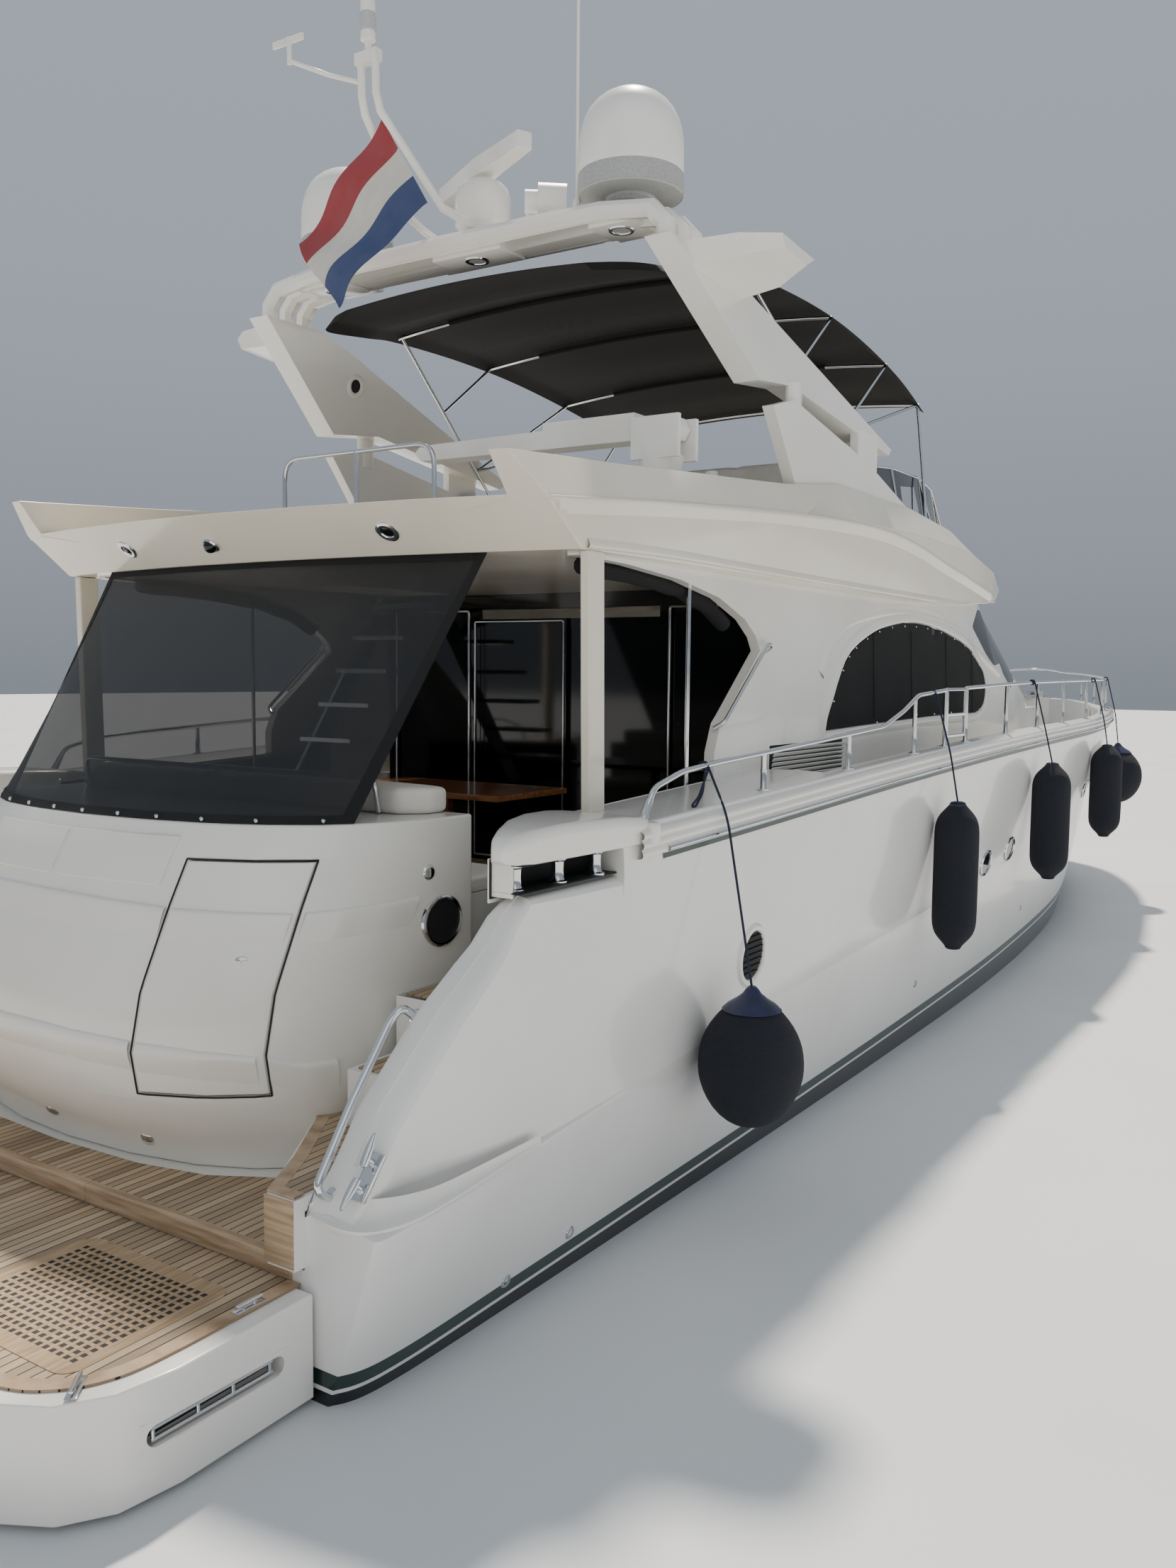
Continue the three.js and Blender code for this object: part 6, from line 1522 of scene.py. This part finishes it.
# Side curtains: clear vinyl bound with canvas, rolled up and strapped under the
# overhang's edge, so that the rolls sag a little between the straps.
for name in ("side_curtain_starboard", "side_curtain_port"):
    shape = merged(name)
    bmesh.ops.subdivide_edges(shape, edges=[e for e in shape.edges if e.calc_length() > 0.08], cuts=3,
                              use_grid_fill=True)
    for v in shape.verts:
        v.co.x *= 1 + 0.002 * math.sin(v.co.y * 21)
        v.co.z += 0.004 * math.sin(v.co.y * 17)
    made = piece(name + "_roll", shape, canvas, "hull", 50)
    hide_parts(name)

# Davit: white painted alloy column and boom, stowed across the fly deck, and the
# moulded base that it turns on; the round float is blow-moulded plastic.
for cad, body in (("davit_base", "hull"), ("davit_column", "davit_column"), ("davit_boom", "davit_boom")):
    dressed(cad, moulded, 0.022, 4)
ball = bmesh.new()
# radius and height
BALL = [(0, 0), (0.08, 0.004), (0.15, 0.03), (0.2, 0.066), (0.24, 0.118), (0.264, 0.18), (0.275, 0.25),
        (0.272, 0.31), (0.26, 0.36), (0.235, 0.41), (0.2, 0.452), (0.15, 0.495), (0.1, 0.52), (0.06, 0.535),
        (0.045, 0.548), (0.043, 0.575), (0.036, 0.58), (0, 0.58)]
turned(ball, BALL, (1.54, 4.42, 3.7803), steps=48)
made = piece("stowed_ball_skin", ball, moulded, "hull", 40)
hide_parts("stowed_ball")

# Rails: polished stainless tube on stanchions, each with a thicker sleeve at its
# foot; the side gates hang on the rail's end posts and swing outboard.
# y, and the tube's height over the cap
RAIL_UP = ((2.02, -0.01), (2.12, 0.15), (2.4, 0.205), (2.77, 0.215), (4.1, 0.225), (5.2, 0.24), (5.6, 0.33),
           (5.9, 0.43), (6.53, 0.445))


def rail_x(y):
    """Where the rail stands on the starboard cap"""
    return looked_up(stations, y, 7) - 0.075


def cap_z(y):
    """The bulwark cap's level"""
    return looked_up(stations, y, 9)


low_rail = [(rail_x(y), y, cap_z(y) + up) for y, up in RAIL_UP]
AFT_POSTS = (3.34, 4.59, 5.83, 6.53)
posts = [[(rail_x(y), y, cap_z(y)), (rail_x(y), y, cap_z(y) + looked_up([list(r) for r in RAIL_UP], y, 1))]
         for y in AFT_POSTS]
for side, name in SIDES:
    made = tubing(f"guard_rail_{name}_tube", [[(side * x, y, z) for x, y, z in p]
                                              for p in [low_rail] + posts], 0.0165,
                  bend=0.05)
    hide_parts(f"guard_rail_{name}")
FORWARD = (7.06, 8.27, 9.44, 10.63, 12.03, 13.69, 15.1, 16.4, 17.5, 18.35, 18.95)
HIGH = 0.445
high = [(max(rail_x(y), 0.33), y, cap_z(y) + HIGH) for y in FORWARD]
nose = [(0.3, 19.28, 3.09), (0.0, 19.4, 3.1), (-0.3, 19.28, 3.09)]
paths = [high + nose + [(-x, y, z) for x, y, z in reversed(high)]]
paths += port_too([[(rail_x(y), y, cap_z(y)), (max(rail_x(y), 0.33), y, cap_z(y) + HIGH)] for y in FORWARD])
made = tubing("bow_rail_tube", paths, 0.0165, bend=0.12)
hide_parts("bow_rail")
feet = bmesh.new()
for y in AFT_POSTS + FORWARD:
    turned(feet, [(0.04, -0.002), (0.04, 0.006), (0.022, 0.01), (0.019, 0.016), (0.019, 0.12),
                  (0.014, 0.124)],
           (rail_x(y), y, cap_z(y)), steps=16)
turned(feet, [(0.0, -0.01), (0.024, -0.01), (0.0235, 0.05), (0.021, 0.055), (0.021, 0.115), (0.0145, 0.12)],
       (rail_x(2.02), 2.02, cap_z(2.02) - 0.004), (0, 0.53, 0.85), 20)
twinned(feet)
piece("stanchion_feet", feet, stainless, "hull")
for cad in ("rail_gate_starboard", "rail_gate_port"):
    dressed(cad, stainless, 0.006, 3)
made = tubing("fly_aft_rail_tube", [[(-0.64, 2.55, 3.78), (-0.64, 2.55, 4.35), (0.64, 2.55, 4.35),
                                     (0.64, 2.55, 3.78)],
                                    [(0, 2.55, 3.78), (0, 2.55, 4.35)]], 0.0155, bend=0.14)
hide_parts("fly_aft_rail")

# Fenders: inflated vinyl in knitted navy-black covers, drawn in at the eye where
# a spliced lanyard is made fast.
knit, tree, shader = coat("navy_knitted_acrylic_cover", "#0D0F15", 0.97)
spot = place(tree)
loops = node(tree, "TexWave", {"Vector": spot, "Scale": 60.0, "Distortion": 2.0}, bands_direction="Z")
ribs = node(tree, "TexNoise", {"Vector": spot, "Scale": 90.0, "Detail": 3.0})
fluff = maths(tree, "MULTIPLY", loops.outputs["Fac"], ribs.outputs["Fac"])
toned(tree, shader, fluff, [(0.05, "#0E1016"), (0.6, "#262B38")], 0.88, 1.0)
raised(tree, shader, fluff, 0.0025)
# y, radius, length and shape
SIZES = {"fender_1": (2.65, 0.29, 0.76, "ball"), "fender_2": (6.24, 0.17, 1.15, "long"),
         "fender_3": (9.2, 0.18, 1.13, "long"), "fender_4": (12.5, 0.18, 1.1, "long"),
         "fender_5": (14.9, 0.32, 0.8, "ball")}
for cad, (y, r, length, kind) in SIZES.items():
    x, top = REACH[cad]
    if kind == "ball":
        profile = [(0, -length), (0.05, -length + 0.002), (r * 0.34, -length + 0.012),
                   (r * 0.62, -length * 0.915), (r * 0.84, -length * 0.8), (r * 0.96, -length * 0.68),
                   (r, -length * 0.58), (r * 0.985, -length * 0.47), (r * 0.92, -length * 0.37),
                   (r * 0.8, -length * 0.28), (r * 0.62, -length * 0.19), (r * 0.42, -length * 0.12),
                   (0.078, -0.06), (0.048, -0.035), (0.034, -0.012), (0.02, 0.0), (0, 0.0)]
    else:
        profile = [(0, -length), (0.05, -length), (0.06, -length + 0.008), (0.066, -length + 0.03),
                   (r * 0.62, -length + 0.07), (r * 0.87, -length + 0.12), (r * 0.985, -length + 0.19),
                   (r, -length + 0.26), (r * 1.0, -length * 0.5), (r, -0.26), (r * 0.985, -0.19),
                   (r * 0.87, -0.12), (r * 0.62, -0.07), (0.066, -0.03), (0.058, -0.008), (0.05, 0), (0, 0)]
    body = bmesh.new()
    turned(body, profile, (x, y, top), steps=40)
    made = piece(cad + "_cover", body, knit, "hull", 50)
    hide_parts(cad)
    finer = made.modifiers.new("round", "SUBSURF")
    finer.levels = finer.render_levels = 1
# The vinyl shows where it is drawn up to the eye, and the lanyards end in round
# turns on the rail, the aftermost with its spare line hung up in a bight.
blue_vinyl = mottled("dark_blue_fender_vinyl", "#1A1E3E", 0.28, 14.0, [(0.3, "#161A36"), (0.7, "#232850")],
                     0.22, 0.4, 4.0)
eyes = bmesh.new()
for cad, (y, r, length, kind) in SIZES.items():
    x, top = REACH[cad]
    cone = [(0, 0.004), (0.03, 0.004), (0.054, -0.006), (0.0635, -0.02), (0.072, -0.035), (0.06, -0.045)]
    if kind == "ball":
        cone = [(0, 0.008), (0.02, 0.008), (0.036, -0.008), (0.052, -0.032), (0.084, -0.058),
                (r * 0.45, -length * 0.115), (r * 0.56, -length * 0.155), (r * 0.5, -length * 0.16)]
    turned(eyes, cone, (x, y, top), steps=40)
piece("fender_tops", eyes, blue_vinyl, "hull", 50)
turns = []
for fender, (rail_x_at, y, rail_z_at), _ in LANYARDS:
    turns.append([(rail_x_at + 0.0215 * math.cos(a), y - 0.022 + 0.0023 * a,
                   rail_z_at + 0.0215 * math.sin(a))
                  for a in spread(0, 6 * math.pi, 48)])
hang_x, hang_y, hang_z = LANYARDS[0][1]
turns.append([(hang_x + 0.02, hang_y - 0.02, hang_z - 0.015),
              (hang_x + 0.024, hang_y - 0.05, hang_z - 0.14),
              (hang_x + 0.022, hang_y - 0.13, hang_z - 0.215),
              (hang_x + 0.02, hang_y - 0.17, hang_z - 0.205),
              (hang_x + 0.022, hang_y - 0.09, hang_z - 0.16),
              (hang_x + 0.03, hang_y - 0.005, hang_z - 0.02)])
tubing("lanyard_hitches", turns, 0.0065, rope, bend=0.03, sides=3)

# Foredeck: sunpad in white vinyl, the locker hatch, and the windlass and anchor
# in polished and galvanised steel.
cushion("sunpad", vinyl, 0.02, [("X", x, 0.04) for x in (-0.34, 0.34)] + [("Y", 14.9, 0.04)], 0.03)
dressed("locker_hatch", white, 0.008)
dressed("windlass", stainless, 0.012, 3)
dressed("anchor", polished("galvanised_anchor_steel", "#A9ACAD", 0.3), 0.005)

# Fly deck furniture: the helm console is a white moulding that carries a wheel of
# bent steel tube; seat and sofa are upholstered in the cockpit's white vinyl.
dressed("helm_console", white, 0.03, 4)
cushion("helm_seat", vinyl, 0.0, [("X", 0.8, 0.03)], 0.04)
cushion("fly_sofa", vinyl, 0.015, [("Y", 5.9, 0.03), ("Y", 6.45, 0.03), ("X", -1.1, 0.03)], 0.04)
wheel_points = [(0.8 + 0.19 * math.cos(a), 7.28 + 0.05 * math.sin(a), 4.42 + 0.18 * math.sin(a))
                for a in spread(0, math.tau, 40)]
spokes = [[(0.8, 7.29, 4.42), end] for end in ((0.98, 7.28, 4.42), (0.66, 7.3, 4.54), (0.66, 7.25, 4.3),
                                               (0.8, 7.36, 4.4))]
tubing("helm_wheel", [wheel_points] + spokes, 0.011, bend=0.005)

# Running gear: propellers and rudders are cast of manganese bronze and ground
# smooth, and use has left a brown film on them.
bronze = mottled("cast_manganese_bronze", "#B08A4E", 0.35, 12.0, [(0.3, "#7F6238"), (0.7, "#BD9658")], 0.28,
                 0.5, 5.0, Metallic=1.0)
for cad in ("propeller_starboard", "propeller_port", "rudder_starboard", "rudder_port"):
    dressed(cad, bronze, 0.004)
